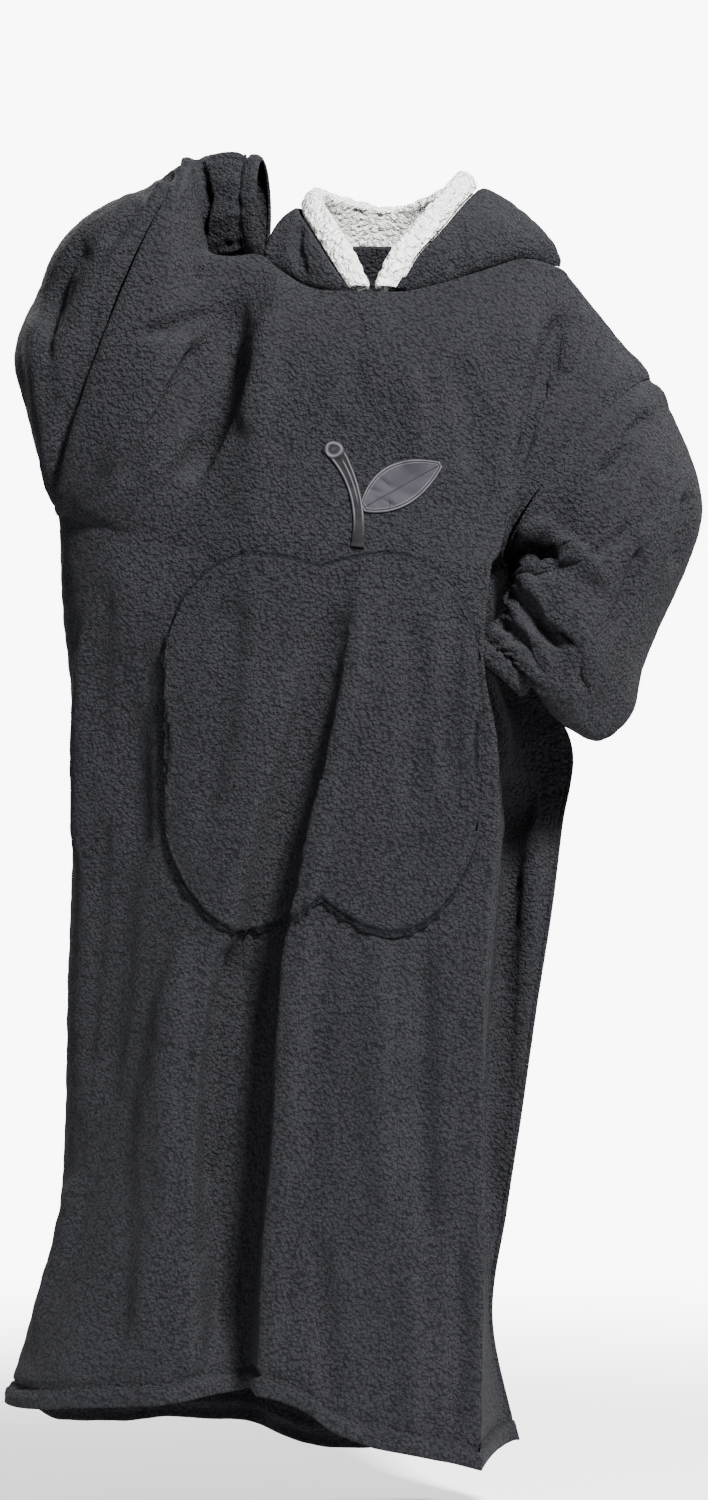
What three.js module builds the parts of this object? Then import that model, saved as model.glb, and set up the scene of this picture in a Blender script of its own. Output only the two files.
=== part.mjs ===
// Oversized wearable blanket hoodie in thick fleece, worn form: one arm raised, one hand at the hip.
// Millimetres, +Z up. The origin is the middle of the neck where the wearer holds the garment.
// The wearer faces -Y, and +X is the wearer's left side.
import * as THREE from 'three';

// Driving dimensions
const CLOTH = 3.4; // fleece wall
const SEAM_CLOTH = 2.2; // fleece wall pressed into a seam
const GATHERED_CLOTH = 1.6; // fleece wall where a sleeve is gathered onto its cuff
const CUFF_CLOTH = 4.2; // doubled fleece of the cuffs
const LINING_CLOTH = 2.6; // sherpa wall
const LINING_EDGE = 1.3; // sherpa wall at the lining's lower edge
const SATIN = 1.6; // padded satin of the stalk and leaf
const SEAM = 0.36; // gap between two sewn pieces
const DEEP_SEAM = 1.0; // draw-back of a ring or hood that is sewn on at an angle
const HEM_BAND = 23; // depth of the turned-up hem
const HEM_EXTRA = 3.2; // how much thicker the turned-up hem is
const CUFF_LENGTH = 30;
const TRIM_BULGE = 5; // how far the rolled trim stands proud

// Grid sizes
const COLUMNS = 28; // across a body panel
const ARM_ROWS = 11; // body rows beside an armhole
const SIDE_ROWS = 20; // body rows from armpit to hem stitch line
const SLEEVE_RINGS = 19;
const HOOD_ROWS = 10;

// Table helper: one object a row, with the named columns
const table = (names, lines) => lines.map((line) => (
  Object.fromEntries(names.split(' ').map((name, i) => [name, line[i]]))
));

// Body sections from shoulder to hem. mid is the height on the front's middle, front and back the
// depths there, valley the soft fold under the raised arm, fold the deep centre fold with its edge
// at foldX, ridge the vertical ridge in front of the hip, which drops back into a recess.
const SECTIONS = table(
  'name mid front back valleyX valleyDeep valleyWide foldX foldDeep foldWide ridgeX ridgeY drop under',
  [
    ['shoulder', -43, -72, 78, -170, 14, 26, 0, 0, 30, 192, -18, 1.0, 0],
    ['yoke', -100, -115, 112, -176, 34, 30, 0, 0, 30, 182, -62, 1.1, 0],
    ['chest', -160, -138, 138, -182, 34, 36, -3, 0, 30, 163, -98, 1.4, 0],
    ['bust', -222, -150, 152, -188, 30, 42, -8, 0, 30, 152, -124, 1.8, 0],
    ['ribs', -285, -157, 158, -193, 26, 46, -12, 2, 30, 140, -142, 2.6, 4],
    ['armpit', -350, -161, 162, -200, 23, 50, -17, 4, 32, 131, -154, 3.6, 20],
    ['waist', -436, -164, 164, -212, 21, 54, -23, 12, 36, 122, -162, 5.0, 44],
    ['hip', -545, -168, 168, -235, 19, 58, -43, 28, 46, 137, -164, 5.0, 34],
    ['seat', -643, -172, 172, -250, 17, 60, -70, 40, 56, 136, -162, 4.5, 16],
    ['thigh', -736, -175, 175, -266, 15, 60, -92, 48, 64, 128, -160, 4.0, 10],
    ['knee', -840, -178, 178, -274, 12, 60, -103, 54, 72, 122, -160, 4.0, 8],
    ['calf', -960, -182, 182, -277, 9, 60, -108, 60, 80, 122, -164, 4.0, 8],
    ['shin', -1064, -186, 188, -278, 6, 60, -115, 66, 88, 123, -168, 3.6, 6],
    ['ankle', -1170, -192, 196, -275, 4, 60, -121, 70, 96, 120, -174, 3.0, 4],
    ['hem', -1300, -206, 208, -270, 2, 60, -125, 70, 104, 118, -196, 2.0, 0],
  ],
);
const ARMPIT = 5; // section at the bottom of both armholes
const LAST = SECTIONS.length - 1;

// Side seams from armpit to hem, by section
const SIDES = table('leftX leftY leftZ rightX rightY rightZ', [
  [-354, -15, -289, 160, -4, -345],
  [-353, -8, -385, 182, 50, -459],
  [-342, -4, -499, 232, 60, -550],
  [-340, 0, -613, 221, 62, -647],
  [-343, 4, -727, 209, 62, -744],
  [-348, 8, -852, 192, 60, -852],
  [-350, 10, -978, 174, 58, -978],
  [-358, 12, -1086, 157, 54, -1086],
  [-388, 12, -1200, 140, 44, -1212],
  [-419, 8, -1297, 169, 20, -1346],
]);

// Lower edge heights by x, front and back
const HEM_FRONT = table('at z', [
  [-419, -1297], [-324, -1284], [-235, -1275], [-150, -1266], [-122, -1262], [-79, -1275],
  [-41, -1301], [0, -1317], [83, -1333], [140, -1346], [169, -1346],
]);
const HEM_BACK = table('at z', [
  [-419, -1297], [-370, -1342], [-300, -1352], [-220, -1346], [-130, -1362], [-40, -1386],
  [60, -1384], [130, -1364], [169, -1346],
]);

// Top edge of both panels by column: shoulder, neckline and shoulder again
const TOP_FRONT = table('at x y z', [
  [0, -204, -15, 109], [1, -202, -22, 92], [2, -199, -30, 68], [3, -194, -38, 38],
  [4, -184, -44, 6], [5, -158, -47, -8], [6, -121, -50, -6], [8, -82, -80, -32],
  [9, -62, -92, -41], [11, -38, -100, -44], [12, 0, -103, -45], [13, 38, -100, -44],
  [15, 80, -87, -33], [17, 124, -64, -17], [19, 172, -34, 0], [21, 214, -5, -7],
  [22, 227, 0, -20], [23, 240, 3, -36], [25, 268, 9, -72], [28, 316, 15, -131],
]);
const TOP_BACK = table('at x y z', [
  [0, -204, -15, 109], [1, -202, -22, 92], [2, -199, -30, 68], [3, -194, -38, 38],
  [4, -184, -44, 6], [5, -158, -47, -8], [6, -121, -50, -6], [8, -118, 6, 4],
  [10, -84, 62, 18], [12, -28, 96, 28], [15, 50, 98, 28], [18, 136, 66, 18],
  [20, 196, 18, 0], [21, 214, -5, -7], [22, 227, 0, -20], [23, 240, 3, -36],
  [25, 268, 9, -72], [28, 316, 15, -131],
]);
const NECK_LEFT = 6; // column where the hood seam meets the shoulder, each side
const NECK_RIGHT = 21;
const HOOD_START = 13; // front columns where the hood's shell starts and ends
const HOOD_END = 11;

// Soft folds of the back panel: s is the place across, deep is outward, between two sections
const BACK_FOLDS = table('s lean wide deep from to', [
  [0.16, -0.02, 0.05, 20, 3, 14],
  [0.33, 0.03, 0.06, -26, 4, 14],
  [0.47, 0.00, 0.045, 18, 6, 14],
  [0.60, -0.03, 0.06, -30, 3, 14],
  [0.76, 0.02, 0.05, 22, 5, 14],
  [0.88, 0.00, 0.04, -14, 7, 14],
]);

// Sleeve sections from armhole to cuff: centre c, half-vector a to the shoulder side, half-vector b
// to the front or outer side, and the back side's share of b
const RAISED = table('cx cy cz ax ay az bx by bz back', [
  [-279, -15, -90, 75, 0, 199, -22, -95, 0, 0.62],
  [-304, -8, -72, 64, 3, 162, -40, -86, 5, 0.8],
  [-326, 22, -46, 48, 6, 116, -55, -52, 0, 0.86],
  [-328, 78, -26, 34, 4, 78, -54, -8, 0, 0.94],
  [-302, 128, 6, 22, 0, 74, -42, 34, 0, 0.96],
  [-254, 140, 38, 8, 0, 72, -8, 52, 0, 1],
  [-212, 118, 62, 2, 0, 70, 12, 48, 0, 1],
  [-174, 92, 71, 0, 0, 66, 12, 45, 0, 1],
  [-144, 74, 72, 0, 0, 61, 9, 42, 0, 1],
]);
const RAISED_CUFF_END = { x: -124, y: 64, z: 69 };
const HIP = table('cx cy cz ax ay az bx by bz back', [
  [238, 5.5, -238, 78, 9.5, 107, -48, -112, -20, 0.85],
  [258, 1, -264, 88, 29, 88, -25, -118, -15, 0.85],
  [270, 1, -293, 100, 43, 65, 0, -120, -5, 0.8],
  [271, -4, -324, 108, 50, 38, 6, -116, 5, 0.75],
  [259, -19, -358, 101, 49, 10, 6, -110, 12, 0.72],
  [241, -36, -394, 89, 44, -18, 0, -100, 14, 0.7],
  [227, -53, -424, 80, 35, -40, -4, -90, 12, 0.7],
  [220, -67, -453, 74, 25, -61, -6, -78, 5, 0.75],
  [204, -82, -471, 54, 14, -74, -6, -66, 0, 0.85],
  [187, -89, -468, 38, 6, -67, -5, -57, 0, 0.95],
  [168, -94, -462, 31, 2, -50, -3, -48, 0, 1],
  [150, -96, -453, 30, 0, -25, 0, -41, 0, 1],
]);
const HIP_CUFF_END = { x: 137, y: -97, z: -474 };

// Sleeve folds: along runs 0 to 1 down the sleeve, turn is round it in turns from the shoulder side
// (0.25 is the front), slant is the change of turn for each unit of along, deep is outward
const RAISED_FOLDS = table('along turn slant wide long deep', [
  [0.18, 0.24, 0.35, 0.05, 0.16, -20],
  [0.28, 0.13, 0.30, 0.05, 0.14, 10],
  [0.31, 0.36, 0.25, 0.05, 0.16, 12],
  [0.43, 0.20, 0.20, 0.06, 0.14, -14],
  [0.70, 0.10, 0.10, 0.06, 0.18, 8],
]);
const HIP_FOLDS = table('along turn slant wide long deep', [
  [0.12, 0.34, 0.9, 0.04, 0.12, -16],
  [0.24, 0.22, 0.7, 0.035, 0.14, -12],
  [0.30, 0.38, 0.3, 0.05, 0.10, 10],
  [0.39, 0.39, 0.3, 0.055, 0.1, -11],
  [0.60, 0.32, -0.4, 0.045, 0.18, -14],
  [0.58, 0.22, -0.4, 0.045, 0.22, 10],
  [0.70, 0.13, -0.3, 0.05, 0.14, -12],
  [0.50, 0.75, 0.3, 0.06, 0.18, -12],
  [0.68, 0.82, -0.3, 0.06, 0.14, 9],
]);

// Hood round the neck from the V's right side, over the back, to its left side. edge is where the
// shell meets the white trim, c and d shape the section between the neck seam and the edge, and
// rim is the step from the edge to the trim's inner fold.
const HOOD = table('at ex ey ez cx cy cz dx dy dz rx ry rz', [
  [0.00, 27, -105, -41, -4, -2, 1, 4, -1, 0, -23, -2, 1],
  [0.05, 38, -101, -24, 2, -8, 6, 4, -6, 0, -23, 0, 10],
  [0.10, 51, -94, -2, 6, -16, 12, 6, -14, 2, -21, 4, 15],
  [0.16, 75, -74, 26, 10, -22, 14, 8, -20, 2, -19, 8, 18],
  [0.24, 104, -36, 64, 12, -14, 20, 16, -16, 6, -17, 6, 20],
  [0.31, 121, 14, 86, 18, 8, 18, 24, 8, 4, -20, 0, 18],
  [0.42, 100, 108, 80, 26, 84, -40, 36, 88, -60, -13, -15, 18],
  [0.54, 28, 168, 62, 0, 150, -170, 0, 176, -220, 0, -18, 20],
  [0.66, -50, 126, 70, -16, 74, -44, -30, 88, -70, 12, -14, 20],
  [0.75, -77, 56, 70, -10, 12, 22, -16, 16, -2, 16, -4, 20],
  [0.83, -80, -14, 54, -2, -2, 22, -12, -4, 4, 18, 4, 19],
  [0.89, -66, -60, 26, -2, -10, 12, -6, -14, 2, 20, 6, 16],
  [0.94, -48, -90, -6, -2, -10, 8, -4, -10, 0, 22, 4, 14],
  [1.00, -27, -105, -41, 4, -2, 1, -4, -1, 0, 23, -2, 1],
]);
const LINING_GAP = 6; // between the shell's inside and the lining's back
const TRIM_ROLL = 11; // thickness of the rolled trim
const LINING_STEPS = [0.86, 0.71, 0.56, 0.42, 0.28, 0.15];
const LINING_RISE = 7; // height of the lining's lower edge over the neck seam

// Pocket, stalk and leaf, drawn on the front panel
const POCKET = {
  middle: -57, half: 174, top: -349, topLobe: 16, bottom: -722, footLobe: 40, corner: 105,
  rows: 12, edgeGap: 0.9, bulge: 12,
};
const POCKET_FROM = 8; // first and last front columns that the pocket's own columns follow
const POCKET_TO = 19;
const POCKET_SHARES = [0, 0.12, 0.3, 0.6]; // columns between its left edge and the first of those
const STALK = { foot: [-17, -333], bend: [-8, -268], head: [-46, -220], wide: 12, headWide: 22 };
const LEAF = { foot: [-13, -291], tip: [78, -239], wide: 46, steps: 10 };

// Small maths
const V = (x, y, z) => new THREE.Vector3(x, y, z);
const clamp01 = (t) => Math.min(1, Math.max(0, t));
const ease = (t) => clamp01(t) ** 2 * (3 - 2 * clamp01(t));
const hump = (t) => (Math.abs(t) < 1 ? (1 - t * t) ** 2 : 0);

function cubic(p0, p1, p2, p3, t) {
  const m1 = (p2 - p0) / 2;
  const m2 = (p3 - p1) / 2;
  const t2 = t * t;
  const t3 = t2 * t;
  return (2 * t3 - 3 * t2 + 1) * p1 + (t3 - 2 * t2 + t) * m1
    + (3 * t2 - 2 * t3) * p2 + (t3 - t2) * m2;
}

// Smooth value of one column at a row number that may be a fraction
function byRow(rows, key, at) {
  const i = Math.min(rows.length - 2, Math.max(0, Math.floor(at)));
  const p = (k) => rows[Math.min(rows.length - 1, Math.max(0, k))][key];
  return cubic(p(i - 1), p(i), p(i + 1), p(i + 2), at - i);
}

// Smooth value of one column at a place in the column called at
function byPlace(rows, key, place) {
  let i = 0;
  while (i < rows.length - 2 && place > rows[i + 1].at) i += 1;
  const t = clamp01((place - rows[i].at) / (rows[i + 1].at - rows[i].at));
  return byRow(rows, key, i + t);
}

// Sleeves: a point on the section at along (0 to 1), turn radians from the shoulder side
function sleevePoint(rows, folds, along, angle) {
  const at = along * (rows.length - 1);
  const get = (key) => byRow(rows, key, at);
  const a = V(get('ax'), get('ay'), get('az'));
  const b = V(get('bx'), get('by'), get('bz'));
  const sin = Math.sin(angle);
  const side = sin >= 0 ? 1 : get('back');
  const p = V(get('cx'), get('cy'), get('cz'));
  const spoke = a.multiplyScalar(Math.cos(angle)).addScaledVector(b, sin * side);
  const turn = angle / (2 * Math.PI);
  let out = 0;
  for (const f of folds) {
    const line = f.turn + f.slant * (along - f.along);
    const off = turn - line - Math.round(turn - line);
    out += f.deep * hump(off / (2 * f.wide)) * hump((along - f.along) / f.long);
  }
  const fade = ease(along / 0.08) * ease((1 - along) / 0.06);
  const reach = spoke.length();
  const push = Math.max(-0.35 * reach, out * fade);
  return p.addScaledVector(spoke, 1 + push / reach);
}

// Body rows as a section number, from 0 at the shoulder to LAST at the hem
function sectionOfRow(row) {
  if (row <= ARM_ROWS) return (row / ARM_ROWS) * ARMPIT;
  const bandShare = 0.17; // the hem band, as a share of the last section
  if (row <= ARM_ROWS + SIDE_ROWS) {
    return ARMPIT + ((row - ARM_ROWS) / SIDE_ROWS) * (LAST - bandShare - ARMPIT);
  }
  return LAST;
}
const ROWS = ARM_ROWS + SIDE_ROWS + 1;

// Where a body row starts and ends: on the armholes, then on the side seams
function edges(section, back) {
  if (section <= ARMPIT) {
    const angle = (back ? -1 : 1) * Math.PI * (section / ARMPIT);
    return [sleevePoint(RAISED, [], 0, angle), sleevePoint(HIP, [], 0, angle)];
  }
  const at = section - ARMPIT;
  const get = (key) => byRow(SIDES, key, at);
  return [
    V(get('leftX'), get('leftY'), get('leftZ')),
    V(get('rightX'), get('rightY'), get('rightZ')),
  ];
}

// Height of a row at share s across, between its ends and its middle
function rowHeight(section, s, left, right, hem, middleShift) {
  const mid = byRow(SECTIONS, 'mid', section) + middleShift;
  const line = left.z * (1 - s) + right.z * s;
  const first = hem[0];
  const end = hem[hem.length - 1];
  const place = first.at * (1 - s) + end.at * s;
  const wave = byPlace(hem, 'z', place) - (first.z * (1 - s) + end.z * s);
  const low = ease((section - (LAST - 3)) / 3);
  return line + 4 * s * (1 - s) * (mid - (left.z + right.z) / 2) * (1 - low) + wave * low;
}

// Columns of the front follow its folds: the raised arm's valley, the centre fold and the ridge
const FRONT_KNOTS = table('column place', [
  [0, 0], [6, 1], [11, 2], [12, 3], [20, 4], [28, 5],
]);
const EDGE_WALL = 12; // width of the centre fold's steep side
function frontX(section, column, left, right) {
  const get = (key) => byRow(SECTIONS, key, section);
  const marks = [
    left.x, Math.max(get('valleyX'), left.x + 45), get('foldX') - EDGE_WALL, get('foldX'),
    get('ridgeX'), right.x,
  ];
  let i = 0;
  while (i < FRONT_KNOTS.length - 2 && column > FRONT_KNOTS[i + 1].column) i += 1;
  const k = FRONT_KNOTS[i];
  let t = (column - k.column) / (FRONT_KNOTS[i + 1].column - k.column);
  if (i === 0) t **= 1.35;
  if (i === 4) t **= 1.5;
  return marks[i] * (1 - t) + marks[i + 1] * t;
}

// Front panel before its top edge is fitted to the shoulder and neck lines
function frontBase(section, column) {
  const [left, right] = edges(section, false);
  const get = (key) => byRow(SECTIONS, key, section);
  const x = frontX(section, column, left, right);
  const s = (x - left.x) / (right.x - left.x);
  const z = rowHeight(section, s, left, right, HEM_FRONT, 0);
  const ridgeX = get('ridgeX');
  const ridgeY = get('ridgeY');
  let y;
  let dx = 0;
  if (x <= ridgeX) {
    const t = (x - left.x) / (ridgeX - left.x);
    const round = Math.sqrt(Math.max(0, 1 - (1 - t) ** 3.2));
    y = left.y + (get('front') - left.y) * round + (ridgeY - get('front')) * t ** 2.2;
  } else {
    const t = (x - ridgeX) / (right.x - ridgeX);
    y = ridgeY + (right.y - ridgeY) * (1 - (1 - t) ** get('drop'));
    dx = -get('under') * hump((t - 0.12) / 0.12);
  }
  const gap = get('foldX') - x;
  if (gap > 0) {
    const wall = ease(gap / EDGE_WALL);
    const slope = 1 - ease((gap - EDGE_WALL) / get('foldWide'));
    y += get('foldDeep') * wall * slope;
  }
  const fromEdge = ease((x - left.x) / 45);
  y += get('valleyDeep') * fromEdge * hump((x - get('valleyX')) / (1.6 * get('valleyWide')));
  return V(x + dx, y, z);
}

// Back panel before its top edge is fitted
function backBase(section, column) {
  const [left, right] = edges(section, true);
  const t = column / COLUMNS;
  const s = 0.6 * t + 0.4 * (0.5 - 0.5 * Math.cos(Math.PI * t));
  const x = left.x * (1 - s) + right.x * s;
  const z = rowHeight(section, s, left, right, HEM_BACK, -0.4 * section);
  const round = Math.sqrt(Math.max(0, 1 - Math.abs(2 * s - 1) ** 2.6));
  const base = left.y * (1 - s) + right.y * s;
  let y = base + (byRow(SECTIONS, 'back', section) - (left.y + right.y) / 2) * round;
  for (const f of BACK_FOLDS) {
    const grow = ease((section - f.from) / 6) * ease((f.to + 3 - section) / 3);
    const line = f.s + f.lean * ((section - f.from) / (f.to - f.from));
    y += f.deep * grow * hump((s - line) / (2 * f.wide));
  }
  return V(x, y, z);
}

// Both panels: the top row follows its own line, and rows below ease into the plain form
function fitted(base, top, section, column) {
  const p = base(section, column);
  const reach = 3.4 * Math.min(1, 0.3 + 0.14 * column); // soon gone beside the raised armhole
  const keep = 1 - ease(section / reach);
  if (keep === 0) return p;
  const start = base(0, column);
  const want = V(...['x', 'y', 'z'].map((key) => byPlace(top, key, column)));
  return p.addScaledVector(want.sub(start), keep);
}
const frontPoint = (section, column) => fitted(frontBase, TOP_FRONT, section, column);
const backPoint = (section, column) => fitted(backBase, TOP_BACK, section, column);

// A grid of points, rows by columns
const grid = (rows, columns, point) => (
  Array.from({ length: rows + 1 }, (_, r) => Array.from({ length: columns + 1 }, (_, c) => point(r, c)))
);

// Hood: one section from the neck seam to the trim's edge
function neckSeam(k) {
  const rightSteps = NECK_RIGHT - HOOD_START;
  const backSteps = NECK_RIGHT - NECK_LEFT;
  if (k <= rightSteps) return frontPoint(0, HOOD_START + k);
  if (k <= rightSteps + backSteps) return backPoint(0, NECK_RIGHT - (k - rightSteps));
  return frontPoint(0, NECK_LEFT + (k - rightSteps - backSteps));
}
const HOOD_COLUMNS = (NECK_RIGHT - HOOD_START) + (NECK_RIGHT - NECK_LEFT) + (HOOD_END - NECK_LEFT);

function hoodPoint(k, t) {
  const get = (key) => byPlace(HOOD, key, k / HOOD_COLUMNS);
  const seam = neckSeam(k);
  const edge = V(get('ex'), get('ey'), get('ez'));
  const c = seam.clone().add(V(get('cx'), get('cy'), get('cz')));
  const d = edge.clone().add(V(get('dx'), get('dy'), get('dz')));
  const u = 1 - t;
  return seam.clone().multiplyScalar(u ** 3).addScaledVector(c, 3 * u * u * t)
    .addScaledVector(d, 3 * u * t * t).addScaledVector(edge, t ** 3);
}

function hoodNormal(k, t) {
  const step = 0.02;
  const k0 = Math.max(0, k - 0.5);
  const k1 = Math.min(HOOD_COLUMNS, k + 0.5);
  const across = hoodPoint(k1, t).sub(hoodPoint(k0, t));
  const up = hoodPoint(k, Math.min(1, t + step)).sub(hoodPoint(k, Math.max(0, t - step)));
  return across.cross(up).normalize();
}

// Lining: the rolled trim, then the inside of the hood down to the neck. Near the V, where the
// shell is low, its inside is a plain strip between the trim and the neck seam.
function liningPoint(k, row) {
  const at = k / HOOD_COLUMNS;
  const get = (key) => byPlace(HOOD, key, at);
  const edge = hoodPoint(k, 1);
  const rim = edge.clone().add(V(get('rx'), get('ry'), get('rz')));
  const middle = edge.clone().lerp(rim, 0.5);
  const under = edge.clone().lerp(rim, 0.75);
  const before = hoodPoint(Math.max(0, k - 0.5), 1);
  const after = hoodPoint(Math.min(HOOD_COLUMNS, k + 0.5), 1);
  const out = after.sub(before).cross(rim.clone().sub(edge)).normalize();
  if (row === 0) return edge;
  if (row === 1) return middle.addScaledVector(out, TRIM_BULGE);
  if (row === 2) return rim.addScaledVector(out, 0.4 * TRIM_BULGE);
  if (row === 3) return rim.addScaledVector(out, 0.4 * TRIM_BULGE - TRIM_ROLL);
  under.addScaledVector(out, -TRIM_ROLL);
  if (row === 4) return under;
  const depth = CLOTH + LINING_GAP;
  const t = LINING_STEPS[row - 5];
  const follow = 0.75 * ease((Math.min(at - 0.22, 0.84 - at)) / 0.2);
  const curved = hoodPoint(k, t).addScaledVector(hoodNormal(k, t), -depth);
  const seam = neckSeam(k);
  const toNeck = V(25 - seam.x, -10 - seam.y, 0).setLength(depth + 4);
  const low = seam.clone().add(toNeck).add(V(0, 0, LINING_RISE + 0.02 * Math.abs(seam.x)));
  const vee = 1 - ease(Math.min(at, 1 - at) / 0.1);
  low.lerp(under.clone().add(V(0, 3, -14)), vee);
  const plain = under.lerp(low, 1 - t);
  return plain.lerp(curved, follow);
}

// A piece: grid, wall, and whether its columns close into a tube
const pieces = [];
function piece(name, points, options = {}) {
  pieces.push({ name, points, wall: CLOTH, closed: false, flip: false, ...options });
}

// Vertex normals of a grid
function gridNormals({ points, closed, flip }) {
  const rows = points.length;
  const cols = points[0].length;
  return points.map((line, r) => line.map((_, c) => {
    const up = points[Math.max(0, r - 1)][c];
    const down = points[Math.min(rows - 1, r + 1)][c];
    const before = closed ? line[(c + cols - 1) % cols] : line[Math.max(0, c - 1)];
    const after = closed ? line[(c + 1) % cols] : line[Math.min(cols - 1, c + 1)];
    const n = down.clone().sub(up).cross(after.clone().sub(before)).normalize();
    return flip ? n.negate() : n;
  }));
}

// Closed mesh of a walled grid: outer skin, inner skin and rim
function walledGeometry({ points, closed, flip, wall, wallAt }, normals) {
  const rows = points.length;
  const cols = points[0].length;
  const positions = [];
  const outer = (r, c) => r * cols + (closed ? c % cols : c);
  const inner = (r, c) => rows * cols + outer(r, c);
  points.forEach((line) => line.forEach((p) => positions.push(p.x, p.y, p.z)));
  points.forEach((line, r) => line.forEach((p, c) => {
    const q = p.clone().addScaledVector(normals[r][c], -(wallAt ? wallAt(r) : wall));
    positions.push(q.x, q.y, q.z);
  }));
  const index = [];
  const quad = (a, b, c, d) => (flip ? index.push(a, d, c, a, c, b) : index.push(a, b, c, a, c, d));
  const lastColumn = closed ? cols : cols - 1;
  for (let r = 0; r < rows - 1; r += 1) {
    for (let c = 0; c < lastColumn; c += 1) {
      quad(outer(r, c), outer(r + 1, c), outer(r + 1, c + 1), outer(r, c + 1));
      quad(inner(r, c), inner(r, c + 1), inner(r + 1, c + 1), inner(r + 1, c));
    }
  }
  for (let c = 0; c < lastColumn; c += 1) {
    quad(outer(0, c), outer(0, c + 1), inner(0, c + 1), inner(0, c));
    quad(outer(rows - 1, c + 1), outer(rows - 1, c), inner(rows - 1, c), inner(rows - 1, c + 1));
  }
  if (!closed) {
    for (let r = 0; r < rows - 1; r += 1) {
      quad(outer(r + 1, 0), outer(r, 0), inner(r, 0), inner(r + 1, 0));
      quad(outer(r, cols - 1), outer(r + 1, cols - 1), inner(r + 1, cols - 1), inner(r, cols - 1));
    }
  }
  const geometry = new THREE.BufferGeometry();
  geometry.setAttribute('position', new THREE.Float32BufferAttribute(positions, 3));
  geometry.setIndex(index);
  geometry.computeVertexNormals();
  return geometry;
}

// Body panels: thin in the neck and shoulder seam, thick in the turned-up hem
const panelWall = (r) => {
  if (r === 0) return SEAM_CLOTH;
  return r >= ROWS ? CLOTH + HEM_EXTRA : CLOTH;
};
piece('front_body', grid(ROWS, COLUMNS, (r, c) => frontPoint(sectionOfRow(r), c)), {
  wallAt: panelWall,
});
piece('back_body', grid(ROWS, COLUMNS, (r, c) => backPoint(sectionOfRow(r), c)), {
  flip: true,
  wallAt: panelWall,
});

// Sleeves and cuffs. Round a ring the first half is the front armhole, the second the back one.
const AROUND = 2 * ARM_ROWS;
function sleeve(name, rows, folds, flip) {
  const points = grid(SLEEVE_RINGS, AROUND - 1, (r, c) => (
    sleevePoint(rows, folds, r / SLEEVE_RINGS, (c / AROUND) * 2 * Math.PI)
  ));
  const wallAt = (r) => {
    if (r === 0) return SEAM_CLOTH;
    return r > SLEEVE_RINGS - 3 ? GATHERED_CLOTH : CLOTH;
  };
  piece(name, points, { closed: true, flip, seam: DEEP_SEAM, wallAt });
  return points[SLEEVE_RINGS];
}
function cuff(name, ring, end, flip) {
  const centre = ring.reduce((sum, p) => sum.add(p), V(0, 0, 0)).divideScalar(ring.length);
  const shift = V(end.x, end.y, end.z).sub(centre);
  const swell = [1, 1.02, 1.02, 0.96];
  const points = swell.map((scale, r) => ring.map((p) => (
    centre.clone().addScaledVector(shift, r / (swell.length - 1))
      .addScaledVector(p.clone().sub(centre), scale)
  )));
  const wallAt = (r) => (r === 0 ? SEAM_CLOTH : CUFF_CLOTH);
  piece(name, points, { closed: true, flip, seam: SEAM, wallAt });
}
cuff('cuff_raised', sleeve('sleeve_raised', RAISED, RAISED_FOLDS, false), RAISED_CUFF_END, false);
cuff('cuff_hip', sleeve('sleeve_hip', HIP, HIP_FOLDS, true), HIP_CUFF_END, true);

// Hood shell and its white lining
piece('hood', grid(HOOD_ROWS, HOOD_COLUMNS, (r, c) => hoodPoint(c, r / HOOD_ROWS)), {
  flip: true, seam: DEEP_SEAM, wallAt: (r) => (r === 0 ? SEAM_CLOTH : CLOTH),
});
piece('hood_lining', grid(4 + LINING_STEPS.length, HOOD_COLUMNS, (r, c) => liningPoint(c, r)), {
  flip: true,
  seam: 0.5 * DEEP_SEAM,
  wallAt: (r) => (r > 2 + LINING_STEPS.length ? LINING_EDGE : LINING_CLOTH),
});

// Pocket, stalk and leaf lie on the front panel, found by walking over its faceted grid
const frontGrid = pieces[0].points;
const frontNormals = gridNormals(pieces[0]);
const HALVES = [[[0, 0], [1, 0], [1, 1]], [[0, 0], [1, 1], [0, 1]]]; // a quad's two triangles
function onFront(x, z) {
  for (let r = 0; r < frontGrid.length - 1; r += 1) {
    for (let c = 0; c < COLUMNS - 6; c += 1) {
      for (const half of HALVES) {
        const [a, b, d] = half.map((k) => frontGrid[r + k[0]][c + k[1]]);
        const area = (b.x - a.x) * (d.z - a.z) - (d.x - a.x) * (b.z - a.z);
        const v = ((x - a.x) * (d.z - a.z) - (d.x - a.x) * (z - a.z)) / area;
        const w = ((b.x - a.x) * (z - a.z) - (x - a.x) * (b.z - a.z)) / area;
        if (v >= -1e-9 && w >= -1e-9 && v + w <= 1 + 1e-9) {
          const [na, nb, nd] = half.map((k) => frontNormals[r + k[0]][c + k[1]]);
          const n = na.clone().multiplyScalar(1 - v - w).addScaledVector(nb, v)
            .addScaledVector(nd, w).normalize();
          return { p: V(x, a.y + v * (b.y - a.y) + w * (d.y - a.y), z), n };
        }
      }
    }
  }
  return null;
}

// A patch on the front: its outer skin stands off by the gap plus its wall
function patch(name, rows, columns, place, gapAt, wall) {
  const points = grid(rows, columns, (r, c) => {
    const [x, z] = place(r / rows, c / columns);
    const { p, n } = onFront(x, z);
    return p.addScaledVector(n, gapAt(r / rows, c / columns) + wall);
  });
  piece(name, points, { wall });
}

// Place of a front column at a height
function columnX(column, z) {
  const line = frontGrid.map((row) => row[column]);
  let r = 0;
  while (r < line.length - 2 && line[r + 1].z > z) r += 1;
  const t = clamp01((line[r].z - z) / (line[r].z - line[r + 1].z));
  return line[r].x * (1 - t) + line[r + 1].x * t;
}

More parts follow.
